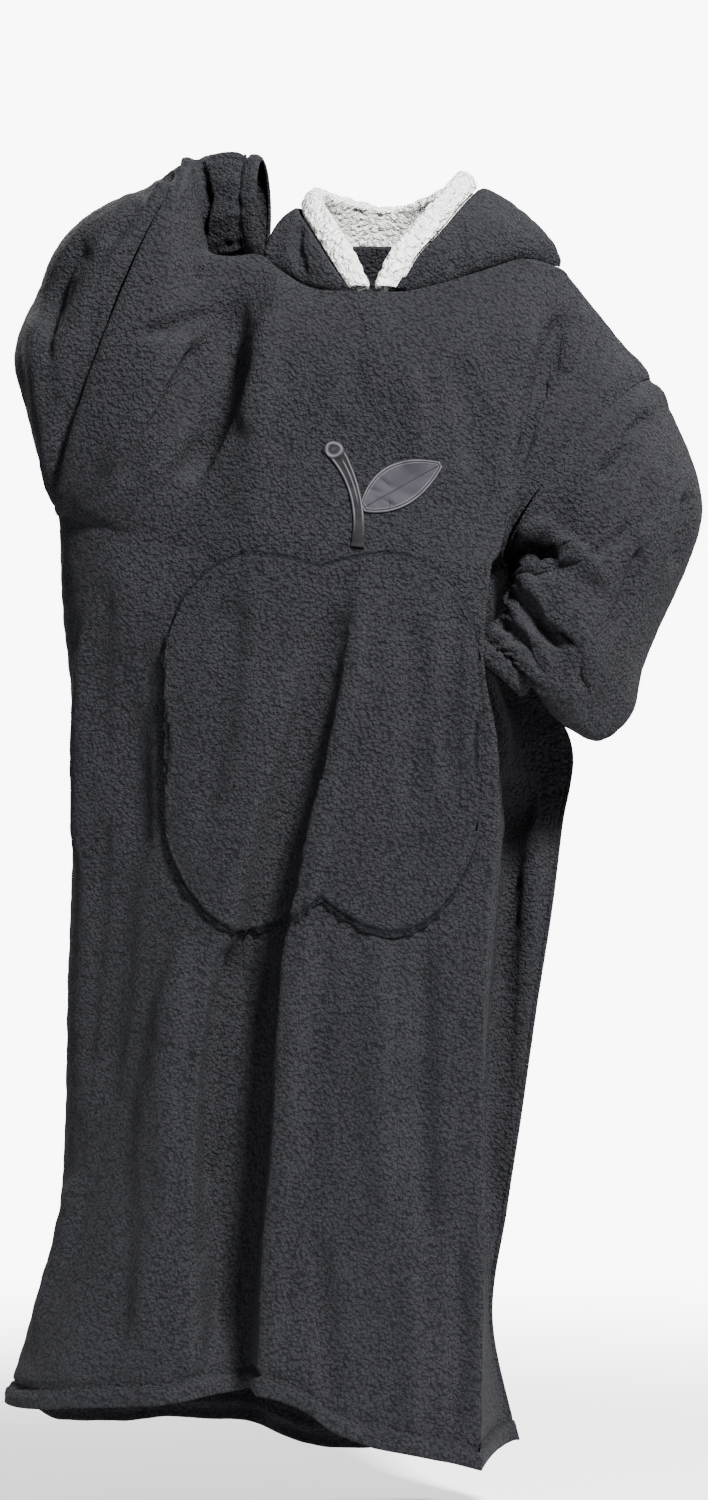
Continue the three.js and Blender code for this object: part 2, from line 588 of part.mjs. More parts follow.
// Two-lobed pouch with round corners. Its columns follow those of the front, folds and all.
const POCKET_COLUMNS = POCKET_SHARES.length + POCKET_TO - POCKET_FROM + 1;
function pocketX(k, z) {
  const left = POCKET.middle - POCKET.half;
  if (k === POCKET_COLUMNS) return POCKET.middle + POCKET.half;
  if (k >= POCKET_SHARES.length) return columnX(POCKET_FROM + k - POCKET_SHARES.length, z);
  const t = POCKET_SHARES[k];
  return left * (1 - t) + columnX(POCKET_FROM, z) * t;
}
function pocketPlace(down, across) {
  const k = Math.round(across * POCKET_COLUMNS);
  let x = 0;
  let z = POCKET.top * (1 - down) + POCKET.bottom * down;
  for (let i = 0; i < 4; i += 1) {
    x = pocketX(k, z);
    const side = Math.max(-1, Math.min(1, (x - POCKET.middle) / POCKET.half));
    const lobes = 1 - (2 * Math.abs(Math.abs(side) - 0.5)) ** 2;
    const bend = clamp01((Math.abs(side) - 0.4) / 0.6);
    const corner = POCKET.corner * (1 - Math.sqrt(1 - bend * bend));
    const top = POCKET.top + POCKET.topLobe * lobes - corner;
    const bottom = POCKET.bottom - POCKET.footLobe * lobes + 0.8 * corner;
    z = top * (1 - down) + bottom * down;
  }
  return [x, z];
}
patch('pocket', POCKET.rows, POCKET_COLUMNS, pocketPlace, (down) => (
  POCKET.edgeGap + POCKET.bulge * Math.sin(Math.PI * down) ** 0.7
), CLOTH);

// Stalk: a tapered strip with a wider cut end
function stalkPlace(down, across) {
  const [x0, z0] = STALK.head;
  const [x1, z1] = STALK.bend;
  const [x2, z2] = STALK.foot;
  const u = 1 - down;
  const x = u * u * x0 + 2 * u * down * x1 + down * down * x2;
  const z = u * u * z0 + 2 * u * down * z1 + down * down * z2;
  const wide = STALK.wide + (STALK.headWide - STALK.wide) * u ** 4 - 7 * down;
  return [x + wide * (across - 0.5), z + 0.35 * wide * (across - 0.5)];
}
patch('stem', 10, 2, stalkPlace, () => 0.7, SATIN);

// Leaf: a pointed oval from foot to tip
function leafPlace(along, across) {
  const [x0, z0] = LEAF.foot;
  const [x1, z1] = LEAF.tip;
  const t = 0.02 + 0.96 * along;
  const length = Math.hypot(x1 - x0, z1 - z0);
  const half = 0.5 * LEAF.wide * Math.sin(Math.PI * t ** 0.9) ** 0.85 + 1;
  const side = (2 * across - 1) * half;
  const nx = -(z1 - z0) / length;
  const nz = (x1 - x0) / length;
  return [x0 + (x1 - x0) * t + nx * side, z0 + (z1 - z0) * t + nz * side];
}
patch('leaf', LEAF.steps, 4, leafPlace, () => 0.7, SATIN);

// Seams: pieces that share edge points share their normals there, and each draws back half a gap
function sewAndBuild() {
  const shared = new Map();
  const key = (p) => `${p.x.toFixed(2)},${p.y.toFixed(2)},${p.z.toFixed(2)}`;
  const normals = pieces.map(gridNormals);
  pieces.forEach(({ points }, i) => points.forEach((line, r) => line.forEach((p, c) => {
    const k = key(p);
    const n = normals[i][r][c];
    if (shared.has(k)) shared.get(k).add(n);
    else shared.set(k, n.clone());
  })));
  return pieces.map((item, i) => {
    const { points, closed } = item;
    const rows = points.length;
    const cols = points[0].length;
    const blended = points.map((line) => line.map((p) => shared.get(key(p)).clone().normalize()));
    const drawn = points.map((line, r) => line.map((p, c) => {
      const q = p.clone();
      const pull = (other, by = SEAM / 2) => q.add(other.clone().sub(p).setLength(by));
      if (r === 0) pull(points[1][c], item.seam ?? SEAM / 2);
      if (r === rows - 1) pull(points[rows - 2][c]);
      if (!closed && c === 0) pull(line[1]);
      if (!closed && c === cols - 1) pull(line[cols - 2]);
      return q;
    }));
    return { name: item.name, geometry: walledGeometry({ ...item, points: drawn }, blended), i };
  });
}

// Finishes
const FLEECE = { color: 0x3b3d44, roughness: 1, metalness: 0 };
const SHERPA = { color: 0xe9e7e4, roughness: 1, metalness: 0 };
const SATIN_GREY = { color: 0x7c7a85, roughness: 0.45, metalness: 0 };
const FINISH = { hood_lining: SHERPA, stem: SATIN_GREY, leaf: SATIN_GREY };

const group = new THREE.Group();
for (const { name, geometry } of sewAndBuild()) {
  const mesh = new THREE.Mesh(geometry, new THREE.MeshStandardMaterial(FINISH[name] ?? FLEECE));
  mesh.name = name;
  group.add(mesh);
}

export default group;
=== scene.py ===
"""Looks of an oversized, full-length fleece hoodie in its worn form.

One sleeve is raised beside the neck, the other is bent to the hip, and the hood lies down. Each
cloth piece is a grid that follows the garment's form, with its creases and its curled pile, and
gets a wall. Form sizes are in millimetres here and in metres in the meshes. The garment faces -Y,
+Z is up, and the origin is the middle of the neck.
"""

from __future__ import annotations

import sys
import logging
import math
from dataclasses import dataclass, field
from enum import Enum

import bmesh
import bpy
import numpy as np
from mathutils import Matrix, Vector, kdtree
from mathutils.bvhtree import BVHTree


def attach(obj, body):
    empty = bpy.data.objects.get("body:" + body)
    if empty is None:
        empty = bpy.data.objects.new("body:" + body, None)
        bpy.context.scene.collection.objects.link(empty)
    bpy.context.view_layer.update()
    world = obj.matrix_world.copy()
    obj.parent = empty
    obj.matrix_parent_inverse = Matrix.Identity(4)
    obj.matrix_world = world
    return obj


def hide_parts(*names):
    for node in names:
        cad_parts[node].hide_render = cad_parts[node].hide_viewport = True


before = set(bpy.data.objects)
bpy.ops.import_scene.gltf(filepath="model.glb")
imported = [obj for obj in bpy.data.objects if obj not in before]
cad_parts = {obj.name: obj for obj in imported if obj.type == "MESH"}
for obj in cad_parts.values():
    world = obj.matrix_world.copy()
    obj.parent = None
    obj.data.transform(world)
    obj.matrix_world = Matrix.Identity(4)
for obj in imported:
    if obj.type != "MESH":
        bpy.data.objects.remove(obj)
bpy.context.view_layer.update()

LOG = logging.getLogger("hoodie")
MM = 0.001

# Walls, and how far pieces stay apart at a seam
CLOTH = 3.4
SATIN_WALL = 1.6
SHERPA_WALL = 2.6
SEAM = 0.5
NECK_SEAM = 0.2
WELD = 0.00002  # metres within which a tube's first and last columns are one

# The soft roll beside an armhole's seam: height, distance from the seam, half width
ROLL_HIGH = 3.6
ROLL_AT = 22
ROLL_WIDE = 20

# The hood's trim and the lining inside it
TRIM_BULGE = 5
TRIM_ROLL = 11
LINING_GAP = 6
LINING_RISE = 7
LINING_STEPS = [0.86, 0.71, 0.56, 0.42, 0.28, 0.15]  # rows, as shares of the way up the shell

# Creases are pressed this many times as deep as they are listed
PRESS = 1.6


class Slot(Enum):
    """Material slots of the record."""

    FLEECE = "fleece"
    LINING = "sherpa_lining"
    SATIN = "satin"


class Panel(Enum):
    """The two body panels."""

    FRONT = "front"
    BACK = "back"


class Table:
    """Rows of named sizes, read smoothly between the rows."""

    def __init__(self, names: str, rows: list[list[float]]) -> None:
        """Keeps one array for each named column.

        Args:
            names: column names, split by spaces.
            rows: one list of numbers for each row.
        """
        self.columns = {name: np.array(line, float) for name, line in zip(names.split(), zip(*rows))}
        self.rows = rows
        self.length = len(rows)

    def by_row(self, name: str, place: np.ndarray) -> np.ndarray:
        """Smooth values of a column at row numbers that may be fractions.

        Args:
            name: the column.
            place: row numbers.

        Returns:
            One value for each row number.
        """
        values = self.columns[name]
        last = self.length - 1
        i = np.clip(np.floor(place).astype(int), 0, last - 1)
        p0, p1 = values[np.clip(i - 1, 0, last)], values[i]
        p2, p3 = values[i + 1], values[np.clip(i + 2, 0, last)]
        t = place - i
        t2, t3 = t * t, t * t * t
        return (
            (2 * t3 - 3 * t2 + 1) * p1
            + (t3 - 2 * t2 + t) * (p2 - p0) / 2
            + (3 * t2 - 2 * t3) * p2
            + (t3 - t2) * (p3 - p1) / 2
        )

    def by_place(self, name: str, place: np.ndarray) -> np.ndarray:
        """Smooth values of a column at places in the column called at.

        Args:
            name: the column.
            place: places along the table.

        Returns:
            One value for each place.
        """
        at = self.columns["at"]
        return self.by_row(name, np.interp(place, at, np.arange(self.length)))

    def vectors(self, names: str, place: np.ndarray, by_row: bool = True) -> np.ndarray:
        """Points or directions from three columns.

        Args:
            names: the three columns, split by spaces.
            place: row numbers, or places in the column called at.
            by_row: whether place holds row numbers.

        Returns:
            An array with one more axis of three values.
        """
        read = self.by_row if by_row else self.by_place
        return np.stack([read(name, place) for name in names.split()], axis=-1)


def ease(t: np.ndarray | float) -> np.ndarray | float:
    """Smooth step from 0 to 1.

    Args:
        t: a number or numbers.

    Returns:
        0 below 0, 1 above 1, and a soft S between.
    """
    u = np.clip(t, 0, 1)
    return u * u * (3 - 2 * u)


def hump(t: np.ndarray | float) -> np.ndarray | float:
    """Smooth bump of height 1 that ends at -1 and 1."""
    return np.where(np.abs(t) < 1, (1 - np.minimum(1, t * t)) ** 2, 0)


def unit(vectors: np.ndarray) -> np.ndarray:
    """Vectors of length 1."""
    return vectors / np.maximum(np.linalg.norm(vectors, axis=-1, keepdims=True), 1e-9)


# Body form from shoulder to hem: heights on the middle, depths, valley, centre fold and ridge
SECTIONS = Table(
    "mid front back valleyX valleyDeep valleyWide foldX foldDeep foldWide ridgeX ridgeY drop under",
    [
        [-43, -72, 78, -170, 14, 26, 0, 0, 30, 192, -18, 1.0, 0],
        [-100, -115, 112, -176, 34, 30, 0, 0, 30, 182, -62, 1.1, 0],
        [-160, -138, 138, -182, 34, 36, -3, 0, 30, 163, -98, 1.4, 0],
        [-222, -150, 152, -188, 30, 42, -8, 0, 30, 152, -124, 1.8, 0],
        [-285, -157, 158, -193, 26, 46, -12, 2, 30, 140, -142, 2.6, 4],
        [-350, -161, 162, -200, 23, 50, -17, 4, 32, 131, -154, 3.6, 20],
        [-436, -164, 164, -212, 21, 54, -23, 12, 36, 122, -162, 5.0, 44],
        [-545, -168, 168, -235, 19, 58, -43, 28, 46, 137, -164, 5.0, 34],
        [-643, -172, 172, -250, 17, 60, -70, 40, 56, 136, -162, 4.5, 16],
        [-736, -175, 175, -266, 15, 60, -92, 48, 64, 128, -160, 4.0, 10],
        [-840, -178, 178, -274, 12, 60, -103, 54, 72, 122, -160, 4.0, 8],
        [-960, -182, 182, -277, 9, 60, -108, 60, 80, 122, -164, 4.0, 8],
        [-1064, -186, 188, -278, 6, 60, -115, 66, 88, 123, -168, 3.6, 6],
        [-1170, -192, 196, -275, 4, 60, -121, 70, 96, 120, -174, 3.0, 4],
        [-1300, -206, 208, -270, 2, 60, -125, 70, 104, 118, -196, 2.0, 0],
    ],
)
ARMPIT = 5  # the section where the armholes end and the side seams start
LAST = SECTIONS.length - 1

# Side seams from the armpits to the hem
SIDES = Table(
    "leftX leftY leftZ rightX rightY rightZ",
    [
        [-354, -15, -289, 160, -4, -345],
        [-353, -8, -385, 182, 50, -459],
        [-342, -4, -499, 232, 60, -550],
        [-340, 0, -613, 221, 62, -647],
        [-343, 4, -727, 209, 62, -744],
        [-348, 8, -852, 192, 60, -852],
        [-350, 10, -978, 174, 58, -978],
        [-358, 12, -1086, 157, 54, -1086],
        [-388, 12, -1200, 140, 44, -1212],
        [-419, 8, -1297, 169, 20, -1346],
    ],
)

# The hem's heights across the panels, then the points of their top edges by column
HEMS = {
    Panel.FRONT: Table(
        "at z",
        [
            [-419, -1297], [-324, -1284], [-235, -1275], [-150, -1266], [-122, -1262], [-79, -1275],
            [-41, -1301], [0, -1317], [83, -1333], [140, -1346], [169, -1346],
        ],
    ),
    Panel.BACK: Table(
        "at z",
        [
            [-419, -1297], [-370, -1342], [-300, -1352], [-220, -1346], [-130, -1362], [-40, -1386],
            [60, -1384], [130, -1364], [169, -1346],
        ],
    ),
}
LEFT_SHOULDER = [
    [0, -204, -15, 109], [1, -202, -22, 92], [2, -199, -30, 68], [3, -194, -38, 38],
    [4, -184, -44, 6], [5, -158, -47, -8], [6, -121, -50, -6],
]
RIGHT_SHOULDER = [
    [21, 214, -5, -7], [22, 227, 0, -20], [23, 240, 3, -36], [25, 268, 9, -72], [28, 316, 15, -131],
]
TOPS = {
    Panel.FRONT: Table(
        "at x y z",
        LEFT_SHOULDER
        + [
            [8, -82, -80, -32], [9, -62, -92, -41], [11, -38, -100, -44], [12, 0, -103, -45],
            [13, 38, -100, -44], [15, 80, -87, -33], [17, 124, -64, -17], [19, 172, -34, 0],
        ]
        + RIGHT_SHOULDER,
    ),
    Panel.BACK: Table(
        "at x y z",
        LEFT_SHOULDER
        + [
            [8, -118, 6, 4], [10, -84, 62, 18], [12, -28, 96, 28], [15, 50, 98, 28],
            [18, 136, 66, 18], [20, 196, 18, 0],
        ]
        + RIGHT_SHOULDER,
    ),
}

# Columns of a panel: how many, the neck's first and last, and the hood's two ends at the V
COLUMNS = 28
NECK_LEFT = 6
NECK_RIGHT = 21
HOOD_START = 13
HOOD_END = 11

# Columns of the front on its side, valley, fold wall, fold edge, ridge and other side
FRONT_KNOTS = [0, 6, 11, 12, 20, 28]

# Soft folds of the back panel: place across, lean, half width, outward depth, first, last section
BACK_FOLDS = [
    (0.16, -0.02, 0.05, 20, 3, 14),
    (0.33, 0.03, 0.06, -26, 4, 14),
    (0.47, 0.00, 0.045, 18, 6, 14),
    (0.60, -0.03, 0.06, -30, 3, 14),
    (0.76, 0.02, 0.05, 22, 5, 14),
    (0.88, 0.00, 0.04, -14, 7, 14),
]

# Sleeve sections from armhole to cuff: centre, half-vectors to the shoulder and to the outer side
RAISED = Table(
    "cx cy cz ax ay az bx by bz back",
    [
        [-279, -15, -90, 75, 0, 199, -22, -95, 0, 0.62],
        [-304, -8, -72, 64, 3, 162, -40, -86, 5, 0.8],
        [-326, 22, -46, 48, 6, 116, -55, -52, 0, 0.86],
        [-328, 78, -26, 34, 4, 78, -54, -8, 0, 0.94],
        [-302, 128, 6, 22, 0, 74, -42, 34, 0, 0.96],
        [-254, 140, 38, 8, 0, 72, -8, 52, 0, 1],
        [-212, 118, 62, 2, 0, 70, 12, 48, 0, 1],
        [-174, 92, 71, 0, 0, 66, 12, 45, 0, 1],
        [-144, 74, 72, 0, 0, 61, 9, 42, 0, 1],
    ],
)
HIP = Table(
    "cx cy cz ax ay az bx by bz back",
    [
        [238, 5.5, -238, 78, 9.5, 107, -48, -112, -20, 0.85],
        [258, 1, -264, 88, 29, 88, -25, -118, -15, 0.85],
        [270, 1, -293, 100, 43, 65, 0, -120, -5, 0.8],
        [271, -4, -324, 108, 50, 38, 6, -116, 5, 0.75],
        [259, -19, -358, 101, 49, 10, 6, -110, 12, 0.72],
        [241, -36, -394, 89, 44, -18, 0, -100, 14, 0.7],
        [227, -53, -424, 80, 35, -40, -4, -90, 12, 0.7],
        [220, -67, -453, 74, 25, -61, -6, -78, 5, 0.75],
        [204, -82, -471, 54, 14, -74, -6, -66, 0, 0.85],
        [187, -89, -468, 38, 6, -67, -5, -57, 0, 0.95],
        [168, -94, -462, 31, 2, -50, -3, -48, 0, 1],
        [150, -96, -453, 30, 0, -25, 0, -41, 0, 1],
    ],
)

# Sleeve folds: along, turn, slant, half width in turns, half length, outward depth
RAISED_FOLDS = [
    (0.18, 0.24, 0.35, 0.05, 0.16, -20),
    (0.28, 0.13, 0.30, 0.05, 0.14, 10),
    (0.31, 0.36, 0.25, 0.05, 0.16, 12),
    (0.43, 0.20, 0.20, 0.06, 0.14, -14),
    (0.70, 0.10, 0.10, 0.06, 0.18, 8),
]
HIP_FOLDS = [
    (0.12, 0.34, 0.9, 0.04, 0.12, -16),
    (0.24, 0.22, 0.7, 0.035, 0.14, -12),
    (0.30, 0.38, 0.3, 0.05, 0.10, 10),
    (0.39, 0.39, 0.3, 0.055, 0.10, -11),
    (0.60, 0.32, -0.4, 0.045, 0.18, -14),
    (0.58, 0.22, -0.4, 0.045, 0.22, 10),
    (0.70, 0.13, -0.3, 0.05, 0.14, -12),
    (0.50, 0.75, 0.3, 0.06, 0.18, -12),
    (0.68, 0.82, -0.3, 0.06, 0.14, 9),
]

# Hood sections round the neck: edge, section controls, and the step to the trim's inner fold
HOOD = Table(
    "at ex ey ez cx cy cz dx dy dz rx ry rz",
    [
        [0.00, 27, -105, -41, -4, -2, 1, 4, -1, 0, -23, -2, 1],
        [0.05, 38, -101, -24, 2, -8, 6, 4, -6, 0, -23, 0, 10],
        [0.10, 51, -94, -2, 6, -16, 12, 6, -14, 2, -21, 4, 15],
        [0.16, 75, -74, 26, 10, -22, 14, 8, -20, 2, -19, 8, 18],
        [0.24, 104, -36, 64, 12, -14, 20, 16, -16, 6, -17, 6, 20],
        [0.31, 121, 14, 86, 18, 8, 18, 24, 8, 4, -20, 0, 18],
        [0.42, 100, 108, 80, 26, 84, -40, 36, 88, -60, -13, -15, 18],
        [0.54, 28, 168, 62, 0, 150, -170, 0, 176, -220, 0, -18, 20],
        [0.66, -50, 126, 70, -16, 74, -44, -30, 88, -70, 12, -14, 20],
        [0.75, -77, 56, 70, -10, 12, 22, -16, 16, -2, 16, -4, 20],
        [0.83, -80, -14, 54, -2, -2, 22, -12, -4, 4, 18, 4, 19],
        [0.89, -66, -60, 26, -2, -10, 12, -6, -14, 2, 20, 6, 16],
        [0.94, -48, -90, -6, -2, -10, 8, -4, -10, 0, 22, 4, 14],
        [1.00, -27, -105, -41, 4, -2, 1, -4, -1, 0, 23, -2, 1],
    ],
)
HOOD_COLUMNS = (NECK_RIGHT - HOOD_START) + (NECK_RIGHT - NECK_LEFT) + (HOOD_END - NECK_LEFT)


@dataclass(frozen=True)
class Crease:
    """A soft trough or ridge that follows a line seen from the front.

    Attributes:
        line: places (x, z) along it, in millimetres.
        wide: half width at its middle.
        deep: outward depth, negative for a trough.
        sharp: how much steeper one side is, 0 for an even one.
        back: whether it lies on the side that faces +Y.
    """

    line: tuple[tuple[float, float], ...]
    wide: float
    deep: float
    sharp: float = 0.0
    back: bool = False

    def height(self, points: np.ndarray, normals: np.ndarray) -> np.ndarray:
        """Outward shift that the crease gives each point.

        Args:
            points: places on the cloth.
            normals: outward directions there.

        Returns:
            One shift for each point, in millimetres.
        """
        x, z = points[..., 0], points[..., 2]
        best = np.full(x.shape, 1e9)
        signed = np.zeros(x.shape)
        along = np.zeros(x.shape)
        steps = [math.dist(a, b) for a, b in zip(self.line, self.line[1:])]
        total = sum(steps)
        done = 0.0
        for (ax, az), (bx, bz), step in zip(self.line, self.line[1:], steps):
            ux, uz = (bx - ax) / step, (bz - az) / step
            t = np.clip((x - ax) * ux + (z - az) * uz, 0, step)
            dx, dz = x - ax - t * ux, z - az - t * uz
            away = np.hypot(dx, dz)
            nearer = away < best
            best = np.where(nearer, away, best)
            signed = np.where(nearer, dx * uz - dz * ux, signed)
            along = np.where(nearer, (done + t) / total, along)
            done += step
        narrow = 0.45 + 0.55 * np.sin(math.pi * np.clip(0.12 + 0.8 * along, 0, 1))
        width = self.wide * narrow * np.where(signed > 0, 1 + self.sharp, 1 - self.sharp)
        facing = ease((normals[..., 1] if self.back else -normals[..., 1]) / 0.35 + 0.3)
        ends = ease(along / 0.14) * ease((1 - along) / 0.2)
        return self.deep * PRESS * hump(best / width) * facing * (0.15 + 0.85 * ends)


@dataclass
class Cloth:
    """A grid of points on a cloth piece, with its outward directions.

    Attributes:
        points: rows by columns of places, in millimetres.
        closed: whether the columns close into a tube.
        flip: whether the grid's own normals point inwards.
    """

    points: np.ndarray
    closed: bool = False
    flip: bool = False

    def normals(self) -> np.ndarray:
        """Outward directions at the grid's points.

        Returns:
            One direction of length 1 for each point.
        """
        down = np.gradient(self.points, axis=0)
        if self.closed:
            across = np.roll(self.points, -1, axis=1) - np.roll(self.points, 1, axis=1)
        else:
            across = np.gradient(self.points, axis=1)
        out = unit(np.cross(down, across))
        return -out if self.flip else out

    def push(self, shift: np.ndarray) -> None:
        """Moves every point outwards by its own shift."""
        self.points = self.points + self.normals() * shift[..., None]

    def crease(self, creases: list[Crease], keep: np.ndarray) -> None:
        """Presses creases into the cloth, one after the other.

        Args:
            creases: the creases.
            keep: share of them that each point takes.
        """
        for item in creases:
            self.push(item.height(self.points, self.normals()) * keep)

    def inset(self, edges: str = "tblr") -> np.ndarray:
        """Distance along the cloth to the nearest of the named edges.

        Args:
            edges: letters for the top, bottom, left and right edges that count.

        Returns:
            One distance for each point, in millimetres.
        """
        near = np.full(self.points.shape[:2], 1e6)
        for axis, pair in ((0, "tb"), (1, "" if self.closed else "lr")):
            steps = np.linalg.norm(np.diff(self.points, axis=axis), axis=-1)
            run = np.concatenate([np.zeros_like(steps.take([0], axis)), np.cumsum(steps, axis)], axis)
            if pair and pair[0] in edges:
                near = np.minimum(near, run)
            if pair and pair[1] in edges:
                near = np.minimum(near, run.take([-1], axis) - run)
        return near

    def from_edge(self, wide: float, edges: str = "tblr") -> np.ndarray:
        """Share from 0 on the named edges to 1 at a distance inside them."""
        return ease(self.inset(edges) / wide)

    def beside_edge(self, away: float, wide: float, edges: str = "tblr") -> np.ndarray:
        """Share that is 1 on a line at a distance inside the named edges, and 0 beside it."""
        return hump((self.inset(edges) - away) / wide)


class Nubs:
    """Curled tufts of pile as a rounded cell pattern in space.

    Attributes:
        MIX: large odd numbers that mix a cell's three numbers.
        SEED_MIX: one that mixes in the seed.
        STIRS: shift and factor of each stir of the bits.
        BITS: the bits that are kept.
        LAST_BITS: the bits that give a share.
    """

    MIX = (73856093, 19349663, 83492791)
    SEED_MIX = 2654435761
    STIRS = ((15, 2246822519), (13, 3266489917))
    BITS = 0xFFFFFFFF
    LAST_BITS = 0xFFFF

    def __init__(self, size: float, seed: int) -> None:
        """Sets the tuft size.

        Args:
            size: width of a tuft, in millimetres.
            seed: number that fixes where the tufts are.
        """
        self.size = size
        self.seed = seed

    def _jitter(self, cell: np.ndarray) -> np.ndarray:
        """Place of a tuft inside its cell.

        Args:
            cell: whole-number cells.

        Returns:
            Three shares from 0 to 1 for each cell.
        """
        mix = cell[..., 0] * self.MIX[0] ^ cell[..., 1] * self.MIX[1] ^ cell[..., 2] * self.MIX[2]
        shares = []
        for axis in (1, 2, 3):
            value = (mix ^ (self.seed * self.SEED_MIX * axis)) & self.BITS
            for shift, factor in self.STIRS:
                value = (value ^ (value >> shift)) * factor & self.BITS
            shares.append((value & self.LAST_BITS) / self.LAST_BITS)
        return np.stack(shares, axis=-1)

    def height(self, points: np.ndarray) -> np.ndarray:
        """Height of the pile, from about -0.5 to 0.5.

        Args:
            points: places on the cloth.

        Returns:
            One height for each point.
        """
        place = points / self.size
        cell = np.floor(place).astype(np.int64)
        nearest = np.full(points.shape[:-1], 9.0)
        for dx in (-1, 0, 1):
            for dy in (-1, 0, 1):
                for dz in (-1, 0, 1):
                    other = cell + np.array([dx, dy, dz])
                    gap = place - other - self._jitter(other)
                    nearest = np.minimum(nearest, (gap * gap).sum(axis=-1))
        return 0.5 - np.minimum(1, nearest)


class BodyForm:
    """The two body panels as smooth functions of section and column.

    Attributes:
        BACK_LOWER: how much the back's sections sink below the front's, for each section.
        HEM_ROWS: sections over which the rows turn from their crown to the hem's wave.
        SIDE_RUN: width of the front's turn at its left side.
        SIDE_ROUND: power of that turn's curve.
        RIDGE_RISE: power of the front's rise to its ridge.
        SPACING: powers that set the front's columns closer near its two sides, by knot.
        VALLEY_SPREAD: half width of the side valley for each millimetre of its listed width.
        UNDER: place and half width, past the ridge, of the cloth tucked under it.
        FOLD_WALL: width of the centre fold's steep wall.
        BACK_ROUND: power of the back's curve.
        BACK_SPACING: how much closer the back's columns lie near its sides.
        BACK_FADES: sections over which the back's folds begin and end.
        TOP_REACH: sections over which the top edge's fit fades out.
        TOP_LEFT: share of that reach at the left side, and its rise with each column.
        LIFT: the shoulder's fullness beside the neck: height, column, half width in columns.
    """

    BACK_LOWER = 0.4
    HEM_ROWS = 3
    SIDE_RUN = 45
    SIDE_ROUND = 3.2
    RIDGE_RISE = 2.2
    SPACING = {0: 1.35, 4: 1.5}
    VALLEY_SPREAD = 1.6
    UNDER = 0.12
    FOLD_WALL = 12
    BACK_ROUND = 2.6
    BACK_SPACING = 0.4
    BACK_FADES = (6, 3)
    TOP_REACH = 3.4
    TOP_LEFT = (0.3, 0.14)
    LIFT = (10, 5.3, 1.6)

    def edges(self, section: np.ndarray, back: bool) -> tuple[np.ndarray, np.ndarray]:
        """Where rows start and end, on the armholes and then on the side seams.

        Args:
            section: section numbers.
            back: whether they are of the back panel.

        Returns:
            The left and the right points.
        """
        angle = (-1 if back else 1) * math.pi * np.clip(section / ARMPIT, 0, 1)
        above = section <= ARMPIT
        at = np.clip(section - ARMPIT, 0, None)
        zero = np.zeros_like(section)
        ends = []
        for form, side in ((RAISED, "left"), (HIP, "right")):
            arm = sleeve_points(form, [], zero, angle)
            seam = SIDES.vectors(f"{side}X {side}Y {side}Z", at)
            ends.append(np.where(above[..., None], arm, seam))
        return ends[0], ends[1]

    def _height(
        self,
        section: np.ndarray,
        s: np.ndarray,
        ends: tuple[np.ndarray, np.ndarray],
        panel: Panel,
    ) -> np.ndarray:
        """Height of rows at shares across.

        Args:
            section: section numbers.
            s: shares across, from 0 to 1.
            ends: the rows' left and right points.
            panel: front or back.

        Returns:
            One height for each point.
        """
        left, right = ends[0][..., 2], ends[1][..., 2]
        hem = HEMS[panel]
        shift = -self.BACK_LOWER * section if panel is Panel.BACK else 0
        mid = SECTIONS.by_row("mid", section) + shift
        first, end = hem.rows[0], hem.rows[-1]
        place = first[0] * (1 - s) + end[0] * s
        wave = hem.by_place("z", place) - (first[1] * (1 - s) + end[1] * s)
        low = ease((section - (LAST - self.HEM_ROWS)) / self.HEM_ROWS)
        crown = 4 * s * (1 - s) * (mid - (left + right) / 2)
        return left * (1 - s) + right * s + crown * (1 - low) + wave * low

    def _front(self, section: np.ndarray, column: np.ndarray) -> np.ndarray:
        """Front panel before its top edge is fitted to the shoulders and neck.

        Args:
            section: section numbers.
            column: column numbers.

        Returns:
            One point for each pair.
        """
        ends = self.edges(section, False)
        left, right = ends[0], ends[1]
        get = {name: SECTIONS.by_row(name, section) for name in SECTIONS.columns}
        marks = [
            left[..., 0],
            np.maximum(get["valleyX"], left[..., 0] + self.SIDE_RUN),
            get["foldX"] - self.FOLD_WALL,
            get["foldX"],
            get["ridgeX"],
            right[..., 0],
        ]
        x = marks[0].copy()
        for i, (start, end) in enumerate(zip(FRONT_KNOTS, FRONT_KNOTS[1:])):
            t = np.clip((column - start) / (end - start), 0, 1)
            reached = marks[i] + (marks[i + 1] - marks[i]) * t ** self.SPACING.get(i, 1)
            x = np.where(column >= start, reached, x)
        s = (x - left[..., 0]) / (right[..., 0] - left[..., 0])
        z = self._height(section, s, ends, Panel.FRONT)
        ridge_x, ridge_y = get["ridgeX"], get["ridgeY"]
        t = np.clip((x - left[..., 0]) / (ridge_x - left[..., 0]), 0, 1)
        curve = np.sqrt(np.maximum(0, 1 - (1 - t) ** self.SIDE_ROUND))
        y = left[..., 1] + (get["front"] - left[..., 1]) * curve
        y = y + (ridge_y - get["front"]) * t**self.RIDGE_RISE
        t = np.clip((x - ridge_x) / (right[..., 0] - ridge_x), 0, 1)
        past = x > ridge_x
        y = np.where(past, ridge_y + (right[..., 1] - ridge_y) * (1 - (1 - t) ** get["drop"]), y)
        shift = np.where(past, -get["under"] * hump((t - self.UNDER) / self.UNDER), 0)
        gap = get["foldX"] - x
        wall = ease(gap / self.FOLD_WALL)
        slope = 1 - ease((gap - self.FOLD_WALL) / get["foldWide"])
        y = y + np.where(gap > 0, get["foldDeep"] * wall * slope, 0)
        from_edge = ease((x - left[..., 0]) / self.SIDE_RUN)
        wide = self.VALLEY_SPREAD * get["valleyWide"]
        y = y + get["valleyDeep"] * from_edge * hump((x - get["valleyX"]) / wide)
        return np.stack([x + shift, y, z], axis=-1)

